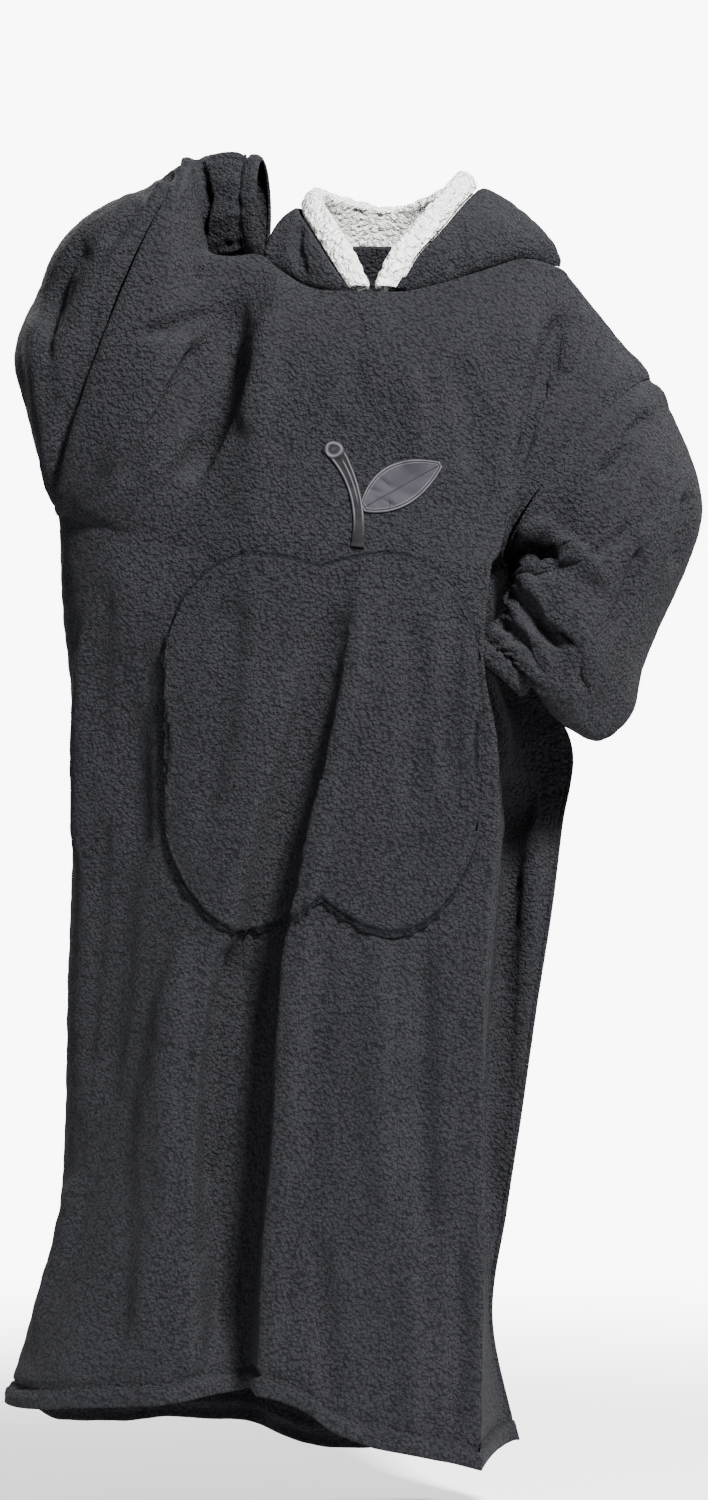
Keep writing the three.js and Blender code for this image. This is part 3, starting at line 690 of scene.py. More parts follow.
    def _back(self, section: np.ndarray, column: np.ndarray) -> np.ndarray:
        """Back panel before its top edge is fitted to the shoulders and neck.

        Args:
            section: section numbers.
            column: column numbers.

        Returns:
            One point for each pair.
        """
        ends = self.edges(section, True)
        left, right = ends[0], ends[1]
        t = column / COLUMNS
        closer = self.BACK_SPACING
        s = (1 - closer) * t + closer * (0.5 - 0.5 * np.cos(math.pi * t))
        x = left[..., 0] * (1 - s) + right[..., 0] * s
        z = self._height(section, s, ends, Panel.BACK)
        curve = np.sqrt(np.maximum(0, 1 - np.abs(2 * s - 1) ** self.BACK_ROUND))
        base = left[..., 1] * (1 - s) + right[..., 1] * s
        depth = SECTIONS.by_row("back", section) - (left[..., 1] + right[..., 1]) / 2
        y = base + depth * curve
        begins, ends = self.BACK_FADES
        for place, lean, wide, deep, first, last in BACK_FOLDS:
            grow = ease((section - first) / begins) * ease((last + ends - section) / ends)
            line = place + lean * ((section - first) / (last - first))
            y = y + deep * grow * hump((s - line) / (2 * wide))
        return np.stack([x, y, z], axis=-1)

    def points(self, panel: Panel, section: np.ndarray, column: np.ndarray) -> np.ndarray:
        """Points of a panel, its top edge on the shoulder and neck lines.

        Args:
            panel: front or back.
            section: section numbers.
            column: column numbers.

        Returns:
            One point for each pair, in millimetres.
        """
        base = self._front if panel is Panel.FRONT else self._back
        found = base(section, column)
        share, rise = self.TOP_LEFT
        reach = self.TOP_REACH * np.minimum(1, share + rise * column)
        keep = 1 - ease(section / reach)
        start = base(np.zeros_like(section), column)
        want = TOPS[panel].vectors("x y z", column, by_row=False)
        high, middle, wide = self.LIFT
        want[..., 2] += high * hump((column - middle) / wide)
        return found + (want - start) * keep[..., None]


def sleeve_points(
    form: Table, folds: list[tuple[float, ...]], along: np.ndarray, angle: np.ndarray
) -> np.ndarray:
    """Points on a sleeve.

    Args:
        form: the sleeve's sections.
        folds: its folds.
        along: shares from the armhole to the cuff.
        angle: radians round it from the shoulder side.

    Returns:
        One point for each pair, in millimetres.
    """
    at = along * (form.length - 1)
    a = form.vectors("ax ay az", at)
    b = form.vectors("bx by bz", at)
    sin = np.sin(angle)
    side = np.where(sin >= 0, 1, form.by_row("back", at))
    spoke = a * np.cos(angle)[..., None] + b * (sin * side)[..., None]
    turn = angle / (2 * math.pi)
    out = np.zeros_like(along + angle)
    for f_along, f_turn, slant, wide, long, deep in folds:
        off = turn - f_turn - slant * (along - f_along)
        off = off - np.round(off)
        out = out + deep * hump(off / (2 * wide)) * hump((along - f_along) / long)
    fade = ease(along / 0.08) * ease((1 - along) / 0.06)
    reach = np.maximum(np.linalg.norm(spoke, axis=-1), 1e-6)
    push = np.maximum(-0.35 * reach, out * fade)
    return form.vectors("cx cy cz", at) + spoke * (1 + push / reach)[..., None]


class HoodForm:
    """The lowered hood and its lining as functions of the place round the neck.

    Attributes:
        NECK_MIDDLE: the point that the lining's foot leans to.
        FOOT: how much further in than the lining's depth its foot lies.
        VEE: share of the round, at each end, where the V runs.
        VEE_FOOT: step from the trim's underside to the lining's foot in the V.
        FOLLOW: how much of the shell's curve the lining takes at the back.
        BACK: shares of the round where the back starts and ends, and how softly.
        STEP: half step, in places round the neck, of a direction along the hood.
    """

    NECK_MIDDLE = (25.0, -10.0, 0.0)
    FOOT = 4
    VEE = 0.1
    VEE_FOOT = (0, 3, -14)
    FOLLOW = 0.75
    BACK = (0.22, 0.84, 0.2)
    STEP = 0.5

    def __init__(self, body: BodyForm) -> None:
        """Keeps the body form, whose neckline the hood is sewn to."""
        self.body = body

    def seam(self, k: np.ndarray) -> np.ndarray:
        """Points of the neck seam at places k from 0 to HOOD_COLUMNS.

        Args:
            k: places round the neck, from the V and back to it.

        Returns:
            One point for each place.
        """
        right = NECK_RIGHT - HOOD_START
        back = NECK_RIGHT - NECK_LEFT
        zero = np.zeros_like(k)
        first = self.body.points(Panel.FRONT, zero, HOOD_START + np.clip(k, 0, right))
        middle = self.body.points(Panel.BACK, zero, NECK_RIGHT - np.clip(k - right, 0, back))
        third = NECK_LEFT + np.clip(k - right - back, 0, None)
        last = self.body.points(Panel.FRONT, zero, third)
        found = np.where((k <= right)[..., None], first, middle)
        return np.where((k > right + back)[..., None], last, found)

    def shell(self, k: np.ndarray, t: np.ndarray) -> np.ndarray:
        """Points of the shell from the neck seam (t = 0) to the trim's edge (t = 1).

        Args:
            k: places round the neck.
            t: shares of the way up.

        Returns:
            One point for each pair.
        """
        at = k / HOOD_COLUMNS
        seam = self.seam(k)
        edge = HOOD.vectors("ex ey ez", at, by_row=False)
        c = seam + HOOD.vectors("cx cy cz", at, by_row=False)
        d = edge + HOOD.vectors("dx dy dz", at, by_row=False)
        u, t = (1 - t)[..., None], t[..., None]
        return seam * u**3 + c * (3 * u * u * t) + d * (3 * u * t * t) + edge * t**3

    def shell_out(self, k: np.ndarray, t: np.ndarray) -> np.ndarray:
        """Outward directions of the shell.

        Args:
            k: places round the neck.
            t: shares of the way up.

        Returns:
            One direction of length 1 for each pair.
        """
        before, after = np.clip(k - self.STEP, 0, None), np.clip(k + self.STEP, None, HOOD_COLUMNS)
        across = self.shell(after, t) - self.shell(before, t)
        up = self.shell(k, np.clip(t + 0.02, None, 1)) - self.shell(k, np.clip(t - 0.02, 0, None))
        return unit(np.cross(across, up))

    def lining(self, row: np.ndarray, k: np.ndarray) -> np.ndarray:
        """Points of the lining, rolled out as the trim and then down inside the shell.

        Args:
            row: rows from 0 at the trim's edge to 10 at the neck seam.
            k: places round the neck.

        Returns:
            Rows by places of points.
        """
        at = k / HOOD_COLUMNS
        one = np.ones_like(k)
        edge = self.shell(k, one)
        rim = edge + HOOD.vectors("rx ry rz", at, by_row=False)
        before = self.shell(np.clip(k - self.STEP, 0, None), one)
        after = self.shell(np.clip(k + self.STEP, None, HOOD_COLUMNS), one)
        out = unit(np.cross(after - before, rim - edge))
        under = edge * 0.25 + rim * 0.75 - TRIM_ROLL * out
        rows = [
            edge,
            (edge + rim) / 2 + TRIM_BULGE * out,
            rim + 0.4 * TRIM_BULGE * out,
            rim + (0.4 * TRIM_BULGE - TRIM_ROLL) * out,
            under,
        ]
        seam = self.seam(k)
        depth = CLOTH + LINING_GAP
        to_neck = np.array(self.NECK_MIDDLE) - seam * np.array([1, 1, 0])
        low = seam + unit(to_neck) * (depth + self.FOOT)
        low[..., 2] += LINING_RISE + 0.02 * np.abs(seam[..., 0])
        vee = (1 - ease(np.minimum(at, 1 - at) / self.VEE))[..., None]
        low = low * (1 - vee) + (under + np.array(self.VEE_FOOT)) * vee
        start, end, soft = self.BACK
        follow = (self.FOLLOW * ease(np.minimum(at - start, end - at) / soft))[..., None]
        for t in LINING_STEPS:
            plain = under * t + low * (1 - t)
            curved = self.shell(k, one * t) - depth * self.shell_out(k, one * t)
            rows.append(plain * (1 - follow) + curved * follow)
        table = np.stack(rows)
        last = len(rows) - 1
        i = np.clip(np.floor(row).astype(int), 0, last - 1)
        t = (row - i)[:, None, None]
        p0, p1 = table[np.clip(i - 1, 0, last)], table[i]
        p2, p3 = table[i + 1], table[np.clip(i + 2, 0, last)]
        turn = (p2 - p0) / 2 * (t**3 - 2 * t**2 + t) + (p3 - p1) / 2 * (t**3 - t**2)
        return p1 * (2 * t**3 - 3 * t**2 + 1) + p2 * (3 * t**2 - 2 * t**3) + turn


class Nodes:
    """Helper that adds and links the nodes of one tree."""

    def __init__(self, tree: bpy.types.NodeTree) -> None:
        """Keeps the tree that the nodes go to."""
        self.tree = tree

    def add(self, kind: str, values: dict | None = None, **settings: object) -> bpy.types.Node:
        """Adds a node.

        Args:
            kind: the node's type name.
            values: its inputs by name or number, each a constant or another node's output.
            settings: its properties.

        Returns:
            The node.
        """
        node = self.tree.nodes.new(kind)
        for name, value in settings.items():
            setattr(node, name, value)
        for name, value in (values or {}).items():
            if isinstance(value, bpy.types.NodeSocket):
                self.tree.links.new(value, node.inputs[name])
            else:
                node.inputs[name].default_value = value
        return node

    def math(self, operation: str, *values: object, clamp: bool = False) -> bpy.types.NodeSocket:
        """Adds a math node.

        Args:
            operation: what it does.
            values: its inputs in order.
            clamp: whether its result is kept from 0 to 1.

        Returns:
            Its output.
        """
        node = self.add("ShaderNodeMath", dict(enumerate(values)), operation=operation)
        node.use_clamp = clamp
        return node.outputs[0]

    def mix(
        self, factor: object, first: object, second: object, **settings: object
    ) -> bpy.types.NodeSocket:
        """Adds a colour mix node.

        Args:
            factor: share of the second colour, a number or an output.
            first: one colour or output.
            second: the other.
            settings: the node's properties.

        Returns:
            Its output.
        """
        colours = {"Factor": factor, "A": first, "B": second}
        return self.add("ShaderNodeMix", colours, data_type="RGBA", **settings).outputs["Result"]

    def surface(self, values: dict) -> None:
        """Adds the surface's shader with these inputs, and the material's output."""
        shader = self.add("ShaderNodeBsdfPrincipled", values)
        self.add("ShaderNodeOutputMaterial", {"Surface": shader.outputs["BSDF"]})


def start_material(name: str) -> tuple[bpy.types.Material, Nodes]:
    """A new material without nodes, and the helper that adds them.

    Args:
        name: the material's name.

    Returns:
        The material and the helper.
    """
    material = bpy.data.materials.new(name)
    material.use_nodes = True
    material.node_tree.nodes.clear()
    return material, Nodes(material.node_tree)


def curl_group() -> bpy.types.NodeTree:
    """Node group of curled pile: its height, and a Shade that paints shade into the gaps between
    tufts, with tone that varies at random.

    Returns:
        The group, with the outputs Height and Shade.
    """
    group = bpy.data.node_groups.new("CurledPile", "ShaderNodeTree")
    face = group.interface
    face.new_socket("Vector", in_out="INPUT", socket_type="NodeSocketVector")
    face.new_socket("Tufts", in_out="INPUT", socket_type="NodeSocketFloat")
    face.new_socket("Height", in_out="OUTPUT", socket_type="NodeSocketFloat")
    face.new_socket("Shade", in_out="OUTPUT", socket_type="NodeSocketFloat")
    n = Nodes(group)
    given = n.add("NodeGroupInput")
    place, tufts = given.outputs["Vector"], given.outputs["Tufts"]
    bend = n.add("ShaderNodeTexNoise", {"Vector": place, "Scale": 120.0, "Detail": 2.0})
    bent = n.add(
        "ShaderNodeVectorMath",
        {0: bend.outputs["Color"], 1: (0.006, 0.006, 0.006), 2: place},
        operation="MULTIPLY_ADD",
    ).outputs[0]
    big = n.add("ShaderNodeTexVoronoi", {"Vector": bent, "Scale": tufts}, feature="F1")
    fine_scale = n.math("MULTIPLY", tufts, 2.3)
    small = n.add("ShaderNodeTexVoronoi", {"Vector": bent, "Scale": fine_scale}, feature="F1")
    fibre = n.add("ShaderNodeTexNoise", {"Vector": bent, "Scale": 900.0, "Detail": 2.0})
    dome = n.math("POWER", n.math("MULTIPLY", big.outputs["Distance"], 1.25), 2.0)
    tuft = n.math("SUBTRACT", 1.0, dome, clamp=True)
    curl = n.math("SUBTRACT", 1.0, small.outputs["Distance"], clamp=True)
    mixed = n.math("MULTIPLY_ADD", curl, 0.5, n.math("MULTIPLY", tuft, 0.8))
    height = n.math("MULTIPLY_ADD", fibre.outputs["Fac"], 0.3, mixed)
    worn = n.add("ShaderNodeTexNoise", {"Vector": place, "Scale": 14.0, "Detail": 3.0})
    # spread is tone that varies at random; raised is painted shade, lighter on the tufts' tops and
    # darker in the gaps between them.
    spread = n.math("MULTIPLY_ADD", worn.outputs["Fac"], 0.3, -0.25)
    raised = n.math("MULTIPLY_ADD", mixed, 0.62, 0.02)
    shade = n.math("ADD", spread, raised, clamp=True)
    n.add("NodeGroupOutput", {"Height": height, "Shade": shade})
    return group


@dataclass(frozen=True)
class PileFinish:
    """Curled fleece pile.

    Attributes:
        name: the material's name.
        low: colour between the tufts, painted shade of the gaps.
        high: colour on the tufts' tops, the light end of that painted shade.
        sheen: colour of the fibres against the light.
        sheen_weight: how strong that is.
        tufts: tufts in a metre.
        relief: bump height, in metres.
        thread: colour of the stitching that the thread attribute marks, near black as painted shade
            of its pressed-in groove as well.
    """

    name: str
    low: tuple[float, float, float]
    high: tuple[float, float, float]
    sheen: tuple[float, float, float]
    sheen_weight: float
    tufts: float
    relief: float
    # Near black: dark stitching with painted shade of its groove.
    thread: tuple[float, float, float] = (0.004, 0.0045, 0.007)

    def build(self, curls: bpy.types.NodeTree) -> bpy.types.Material:
        """Material of the pile.

        Args:
            curls: the curled pile's node group.

        Returns:
            The material.
        """
        material, n = start_material(self.name)
        place = n.add("ShaderNodeTexCoord").outputs["Object"]
        tufts = {"Vector": place, "Tufts": self.tufts}
        pile = n.add("ShaderNodeGroup", tufts, node_tree=curls)
        # The Shade output mixes low into high: painted shade in the gaps between tufts, with tone
        # that varies at random.
        colour = n.mix(pile.outputs["Shade"], (*self.low, 1), (*self.high, 1))
        mark = n.add("ShaderNodeAttribute", attribute_name="thread").outputs["Fac"]
        relief = {"Strength": 1.0, "Distance": self.relief, "Height": pile.outputs["Height"]}
        n.surface(
            {
                # The thread mark paints the stitch line near black: stitching and painted shade of
                # its groove.
                "Base Color": n.mix(mark, colour, (*self.thread, 1)),
                "Roughness": 0.96,
                "Specular IOR Level": 0.06,
                "Sheen Weight": self.sheen_weight,
                "Sheen Roughness": 0.45,
                "Sheen Tint": (*self.sheen, 1),
                "Normal": n.add("ShaderNodeBump", relief).outputs["Normal"],
            }
        )
        return material


@dataclass(frozen=True)
class SatinFinish:
    """Woven satin, whose thread attribute is above 0 on pale stitching and below 0 on dark stitching,
    dark satin and painted shade in crinkles; its colour takes a painted sheen that varies across it.

    Attributes:
        name: the material's name.
        cloth: colour of the satin.
        thread: colour of the pale stitching.
    """

    name: str
    cloth: tuple[float, float, float]
    thread: tuple[float, float, float]

    def build(self) -> bpy.types.Material:
        """Material of the satin.

        Returns:
            The material.
        """
        material, n = start_material(self.name)
        place = n.add("ShaderNodeTexCoord").outputs["Object"]
        # This noise scales the base colour below: painted sheen that varies across the satin.
        painted_sheen_noise = n.add("ShaderNodeTexNoise", {"Vector": place, "Scale": 60.0})
        weave = n.add("ShaderNodeTexWave", {"Vector": place, "Scale": 420.0, "Distortion": 0.6})
        mark = n.add("ShaderNodeAttribute", attribute_name="thread").outputs["Fac"]
        pale = n.math("MAXIMUM", mark, 0.0, clamp=True)
        # Marks below 0 darken the colour: dark stitching, the stalk's dark satin and painted shade in
        # the leaf's crinkles.
        dark = n.math("MULTIPLY_ADD", mark, 0.8, 1.0, clamp=True)
        painted_sheen_and_dark_marks = n.math("MULTIPLY", n.math("MULTIPLY_ADD", painted_sheen_noise.outputs["Fac"], 0.5, 0.7), dark)
        colour = n.mix(pale, (*self.cloth, 1), (*self.thread, 1))
        relief = {"Strength": 0.5, "Distance": 0.0003, "Height": weave.outputs["Fac"]}
        n.surface(
            {
                "Base Color": n.mix(1.0, colour, painted_sheen_and_dark_marks, blend_type="MULTIPLY"),
                "Roughness": 0.55,
                "Specular IOR Level": 0.1,
                "Anisotropic": 0.3,
                "Normal": n.add("ShaderNodeBump", relief).outputs["Normal"],
            }
        )
        return material


# Each pile's low colour is painted shade in the gaps between its tufts, and its high colour is the
# tufts' tops.
FLEECE = PileFinish(
    name="charcoal_fleece",
    low=(0.006, 0.0061, 0.0076),
    high=(0.0262, 0.0264, 0.0315),
    sheen=(0.7, 0.72, 0.8),
    sheen_weight=0.03,
    tufts=255,
    relief=0.0046,
)
SHERPA = PileFinish(
    name="white_sherpa",
    low=(0.78, 0.77, 0.76),
    high=(0.985, 0.985, 0.98),
    sheen=(1, 1, 1),
    sheen_weight=0.15,
    tufts=150,
    relief=0.0075,
)
SATIN = SatinFinish("grey_satin", (0.0225, 0.0215, 0.0275), (0.07, 0.069, 0.079))


@dataclass
class Piece:
    """One cloth piece of the garment.

    Attributes:
        node: the record's node that it dresses.
        flat: width and length of its cut, in metres; not used.
        area: the cut's area, in square metres; not used.
        held: how it is held; not used.
        on: nodes whose pieces it lies on or hangs from; not used.
        slot: its material slot.
        wall: its thickness, in millimetres.
        threads: share of stitching at each point, where it has any; on the pocket it also marks
            painted shade of the stitch groove, on the leaf painted shade in its crinkles.
    """

    node: str
    flat: tuple[float, float]
    area: float
    held: str = "hung"
    on: tuple[str, ...] = ()
    slot: Slot = Slot.FLEECE
    wall: float = CLOTH
    threads: np.ndarray | None = field(default=None, init=False, repr=False)

    def cloth(self) -> Cloth:
        """The piece's grid, given by each kind of piece."""
        raise NotImplementedError

    def make(self, materials: dict[Slot, bpy.types.Material]) -> Cloth:
        """Builds the piece as a walled mesh with its material, in place of the record's part.

        Args:
            materials: materials by slot.

        Returns:
            The grid that it was built from.
        """
        cloth = self.cloth()
        mesh = grid_mesh(f"cloth_{self.node}", cloth, self.threads)
        thing = bpy.data.objects.new(mesh.name, mesh)
        bpy.context.scene.collection.objects.link(thing)
        mesh.materials.append(materials[self.slot])
        wall = thing.modifiers.new("wall", "SOLIDIFY")
        wall.thickness = self.wall * MM
        wall.offset = -1
        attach(thing, "root")
        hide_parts(self.node)
        count = len(mesh.vertices)
        LOG.info("%s: %d points, %.3f m2 of cloth", thing.name, count, mesh_area(cloth))
        return cloth


def mesh_area(cloth: Cloth) -> float:
    """Area of a cloth grid, in square metres.

    Args:
        cloth: the grid.

    Returns:
        The sum of its cells' areas.
    """
    down, across = np.diff(cloth.points[:, :-1], axis=0), np.diff(cloth.points[:-1], axis=1)
    return float(np.linalg.norm(np.cross(down, across), axis=-1).sum() * MM * MM)


def grid_mesh(name: str, cloth: Cloth, threads: np.ndarray | None) -> bpy.types.Mesh:
    """Mesh of a cloth grid, its faces outwards.

    Args:
        name: the mesh's name.
        cloth: the grid.
        threads: share of stitching at each point, where it has any; on the pocket it also marks
            painted shade of the stitch groove, on the leaf painted shade in its crinkles.

    Returns:
        The mesh, in metres.
    """
    points = cloth.points
    if cloth.closed:
        points = np.concatenate([points, points[:, :1]], axis=1)
    rows, columns = points.shape[:2]
    bm = bmesh.new()
    bmesh.ops.create_grid(bm, x_segments=columns - 1, y_segments=rows - 1, size=0.5)
    layer = bm.verts.layers.float.new("thread")
    for vert in bm.verts:
        c = round((vert.co.x + 0.5) * (columns - 1))
        r = round((0.5 - vert.co.y) * (rows - 1))
        vert.co = points[r, c] * MM
        vert[layer] = 0.0 if threads is None else float(threads[r, c])
    if cloth.closed:
        bmesh.ops.remove_doubles(bm, verts=bm.verts, dist=WELD)
    bm.normal_update()
    out = cloth.normals()
    bm.faces.ensure_lookup_table()
    sample = bm.faces[len(bm.faces) // 2]
    middle = sample.calc_center_median()
    near = np.linalg.norm(cloth.points * MM - np.array(middle), axis=-1)
    r, c = np.unravel_index(near.argmin(), near.shape)
    if sample.normal.dot(Vector(out[r, c])) < 0:
        bmesh.ops.reverse_faces(bm, faces=bm.faces)
    for face in bm.faces:
        face.smooth = True
    mesh = bpy.data.meshes.new(name)
    bm.to_mesh(mesh)
    bm.free()
    return mesh


def draw_back(points: np.ndarray, edges: str, gap: float = SEAM) -> None:
    """Moves the named edges inwards by the seam's gap.

    Args:
        points: the grid's points.
        edges: any of the letters t, b, l and r, for top, bottom, left and right.
        gap: how far they move, in millimetres.
    """
    for letter in edges:
        rows = points if letter in "tb" else points.transpose(1, 0, 2)
        first, second = (0, 1) if letter in "tl" else (-1, -2)
        rows[first] += unit(rows[second] - rows[first]) * gap


def pleats(turn: np.ndarray, count: int, seed: float) -> np.ndarray:
    """Uneven ripple with about count waves over one turn.

    Args:
        turn: places, from 0 to 1 over the turn.
        count: number of waves.
        seed: shift that makes each ripple differ.

    Returns:
        A height from about -1 to 1 for each place.
    """
    phase = count * turn + 0.4 * np.sin(2 * math.pi * (3 * turn + seed))
    high = 0.65 + 0.35 * np.sin(2 * math.pi * (5 * turn + 2.3 * seed))
    return np.cos(2 * math.pi * phase) * high


class Ground:
    """Front surface that the pocket, stalk and leaf lie on.

    Attributes:
        BEFORE: a y in front of the whole garment, in millimetres.
    """

    BEFORE = -600

    def __init__(self, cloth: Cloth) -> None:
        """Builds the search tree of a grid.

        Args:
            cloth: the front panel's grid.
        """
        rows, columns = cloth.points.shape[:2]
        corners = cloth.points.reshape(-1, 3).tolist()
        at = np.arange(rows * columns).reshape(rows, columns)
        quads = np.stack([at[:-1, :-1], at[1:, :-1], at[1:, 1:], at[:-1, 1:]], -1).reshape(-1, 4)
        self.tree = BVHTree.FromPolygons(corners, quads.tolist())

    def depth(self, x: np.ndarray, z: np.ndarray) -> np.ndarray:
        """The y that a look along +Y meets at each x and z.

        Args:
            x: places across.
            z: heights.

        Returns:
            One y for each pair.
        """
        found = np.zeros(x.size)
        for i, (px, pz) in enumerate(zip(x.ravel(), z.ravel())):
            hit = self.tree.ray_cast(Vector((px, self.BEFORE, pz)), Vector((0, 1, 0)))[0]
            found[i] = hit.y if hit else found[i - 1]
        return found.reshape(x.shape)


# Creases of the raised sleeve, the hip sleeve, the front, the back and the hood
RAISED_CREASES = [
    Crease(((-208, -97), (-253, -193), (-313, -266)), 26, 10, 0.3),
    Crease(((-169, -106), (-211, -196), (-267, -275)), 22, 8, -0.2),
    Crease(((-286, -60), (-316, -130), (-338, -230)), 34, -8, 0.2),
    Crease(((-262, -102), (-227, -93), (-194, -76)), 17, -11, 0.3),
    Crease(((-296, 10), (-270, 48), (-252, 96)), 24, -6, 0.2),
    Crease(((-360, -100), (-350, -39), (-325, 26)), 26, -7, 0.3),
    Crease(((-384, -54), (-368, -164), (-350, -275)), 24, 6),
    Crease(((-320, 0), (-342, -84), (-350, -190)), 26, 6, -0.3),
    Crease(((-238, 140), (-226, 84), (-232, 24)), 15, -9, 0.2),
    Crease(((-216, 140), (-208, 84), (-214, 24)), 13, 6),
    Crease(((-200, 134), (-192, 84), (-198, 24)), 11, -6),
    Crease(((-300, 70), (-276, 20), (-282, -40)), 20, -10, 0.2, back=True),
    Crease(((-236, 110), (-246, 60), (-262, 10)), 16, -8, back=True),
    Crease(((-340, -40), (-300, -100), (-262, -180)), 24, 9, back=True),
]
HIP_CREASES = [
    Crease(((236, -191), (209, -228), (177, -272)), 20, -15, 0.3),
    Crease(((296, -209), (276, -232), (250, -251)), 15, -9),
    Crease(((147, -307), (194, -307), (220, -332), (266, -376)), 19, 8, 0.2),
    Crease(((139, -350), (173, -332), (206, -350)), 15, -10, 0.2),
    Crease(((134, -362), (177, -406), (224, -444), (250, -508)), 15, -8, 0.3),
    Crease(((134, -409), (173, -444), (194, -478)), 13, -7),
    Crease(((160, -361), (186, -389), (214, -434), (236, -478), (248, -517)), 13, 5),
    Crease(((361, -260), (353, -306), (340, -354)), 16, -7),
    Crease(((322, -232), (316, -286), (288, -338)), 18, 6, 0.2),
    Crease(((302, -330), (286, -386), (262, -430)), 15, -7),
    Crease(((318, -176), (300, -186), (282, -212)), 13, -6),
    Crease(((330, -250), (290, -300), (262, -360)), 22, -10, 0.2, back=True),
    Crease(((360, -320), (310, -350), (262, -372)), 18, -8, back=True),
    Crease(((310, -400), (262, -430), (212, -450)), 16, -7, back=True),
]
FRONT_CREASES = [
    Crease(((-148, -36), (-160, -100), (-182, -180), (-200, -272)), 34, -17, 0.3),
    Crease(((-108, -64), (-120, -130), (-134, -220)), 28, 8, 0.2),
    Crease(((196, -92), (180, -160), (166, -230), (152, -300)), 22, -9, 0.3),
    Crease(((-284, -420), (-276, -600), (-286, -800), (-302, -1000)), 40, -6, 0.2),
    Crease(((176, -600), (164, -800), (150, -1000), (140, -1200)), 28, -14, 0.2),
    Crease(((204, -600), (190, -760), (172, -940), (158, -1120)), 16, 7),
    Crease(((-250, -420), (-262, -560), (-256, -700)), 30, -6, 0.2),
    Crease(((-40, -380), (-66, -520), (-98, -660), (-130, -840)), 38, -13, 0.2),
    Crease(((-120, -740), (-142, -900), (-154, -1080), (-168, -1262)), 48, -20, 0.2),
    Crease(((-214, -780), (-236, -930), (-246, -1090), (-262, -1230)), 34, 9),
    Crease(((-8, -350), (-20, -480), (-58, -650), (-84, -800), (-100, -1040)), 18, 4, 0.2),
    Crease(((-94, -980), (-104, -1090), (-112, -1250)), 18, 4, 0.2),
    Crease(((-260, -92), (-222, -86), (-180, -62)), 16, -8, 0.3),
    Crease(((-196, -30), (-186, -16), (-172, 2)), 12, -7),
    Crease(((-205, -92), (-246, -180), (-300, -262)), 26, 8, 0.2),
    Crease(((-166, -100), (-205, -190), (-262, -280)), 22, 7),
    Crease(((-186, -96), (-228, -186), (-286, -274)), 16, -8),
    Crease(((-140, -104), (-168, -190), (-205, -262)), 18, -6),
    Crease(((-16, -58), (-18, -130), (-10, -196)), 22, -4, 0.2),
    Crease(((181, -74), (170, -150), (162, -194), (152, -251), (142, -299)), 22, 6, 0.2),
    Crease(((216, -60), (206, -112), (190, -168)), 18, -8, 0.2),
    Crease(((244, -40), (226, -92), (214, -140)), 14, 5),
    Crease(((90, -110), (112, -190), (116, -262)), 26, -5),
    Crease(((34, -120), (50, -190), (44, -262)), 24, 4),
    Crease(((40, -400), (52, -520), (44, -640)), 28, -5, 0.2),
    Crease(((96, -380), (84, -500), (90, -620)), 20, -6, 0.2),
    Crease(((-150, -380), (-168, -520), (-190, -660)), 30, -6),
    Crease(((-296, -360), (-304, -470), (-300, -600)), 24, -4, 0.2),
    Crease(((-322, -420), (-330, -560), (-330, -700)), 16, 6),
    Crease(((-300, -620), (-312, -780), (-322, -940)), 22, -4, 0.2),
    Crease(((-206, -760), (-224, -900), (-226, -1060)), 26, 6),
    Crease(((-160, -760), (-172, -900), (-178, -1080)), 22, -7, 0.2),
    Crease(((-50, -760), (-62, -900), (-66, -1050)), 26, -5),
    Crease(((10, -740), (6, -900), (14, -1080)), 28, 7, 0.2),
    Crease(((60, -760), (56, -930), (66, -1120)), 24, -9, 0.2),
    Crease(((160, -560), (166, -700), (150, -860)), 18, -8, 0.2),
    Crease(((190, -600), (182, -760), (168, -920)), 14, 6),
    Crease(((-246, -1010), (-262, -1120), (-290, -1230)), 28, -4, 0.2),
    Crease(((-330, -1030), (-352, -1130), (-384, -1230)), 18, 6),
    Crease(((-190, -1110), (-196, -1180), (-206, -1262)), 22, 6),
    Crease(((-62, -1080), (-54, -1180), (-40, -1290)), 22, -6),
    Crease(((40, -1120), (44, -1220), (40, -1316)), 20, 5),
    Crease(((96, -1100), (100, -1210), (90, -1320)), 18, -7, 0.2),
    Crease(((136, -980), (146, -1100), (150, -1220)), 16, -5),
]
BACK_CREASES = [
    Crease(((-220, -110), (-160, -180), (-110, -300)), 34, -9, 0.2, back=True),
    Crease(((220, -100), (170, -190), (130, -320)), 34, -9, 0.2, back=True),
    Crease(((-60, -90), (-30, -150), (20, -170)), 30, -6, back=True),
    Crease(((-290, -330), (-260, -470), (-240, -640)), 28, -9, 0.2, back=True),
    Crease(((-120, -360), (-90, -560), (-96, -780)), 36, 8, back=True),
    Crease(((40, -300), (20, -480), (36, -700)), 34, -8, 0.2, back=True),
    Crease(((120, -420), (110, -600), (128, -820)), 30, 7, back=True),
    Crease(((-200, -700), (-220, -900), (-250, -1150)), 36, -9, 0.2, back=True),
    Crease(((-20, -760), (-46, -960), (-40, -1220)), 34, 8, back=True),
    Crease(((80, -800), (96, -1000), (100, -1260)), 30, -8, 0.2, back=True),
    Crease(((-320, -1000), (-345, -1120), (-370, -1260)), 24, 7, back=True),
    Crease(((170, -420), (176, -600), (160, -780)), 20, -7, back=True),
]
HOOD_CREASES = [
    Crease(((60, -60), (92, -20), (104, 40)), 13, -4),
    Crease(((-74, -40), (-86, 10), (-78, 52)), 11, -4),
    Crease(((-60, 60), (-20, -20), (20, -60)), 26, -9, 0.2, back=True),
    Crease(((110, 60), (70, -10), (40, -70)), 24, -8, 0.2, back=True),
    Crease(((30, 70), (24, 10), (30, -50)), 20, 7, back=True),
    Crease(((-90, 30), (-60, -40), (-20, -90)), 18, 6, back=True),
]


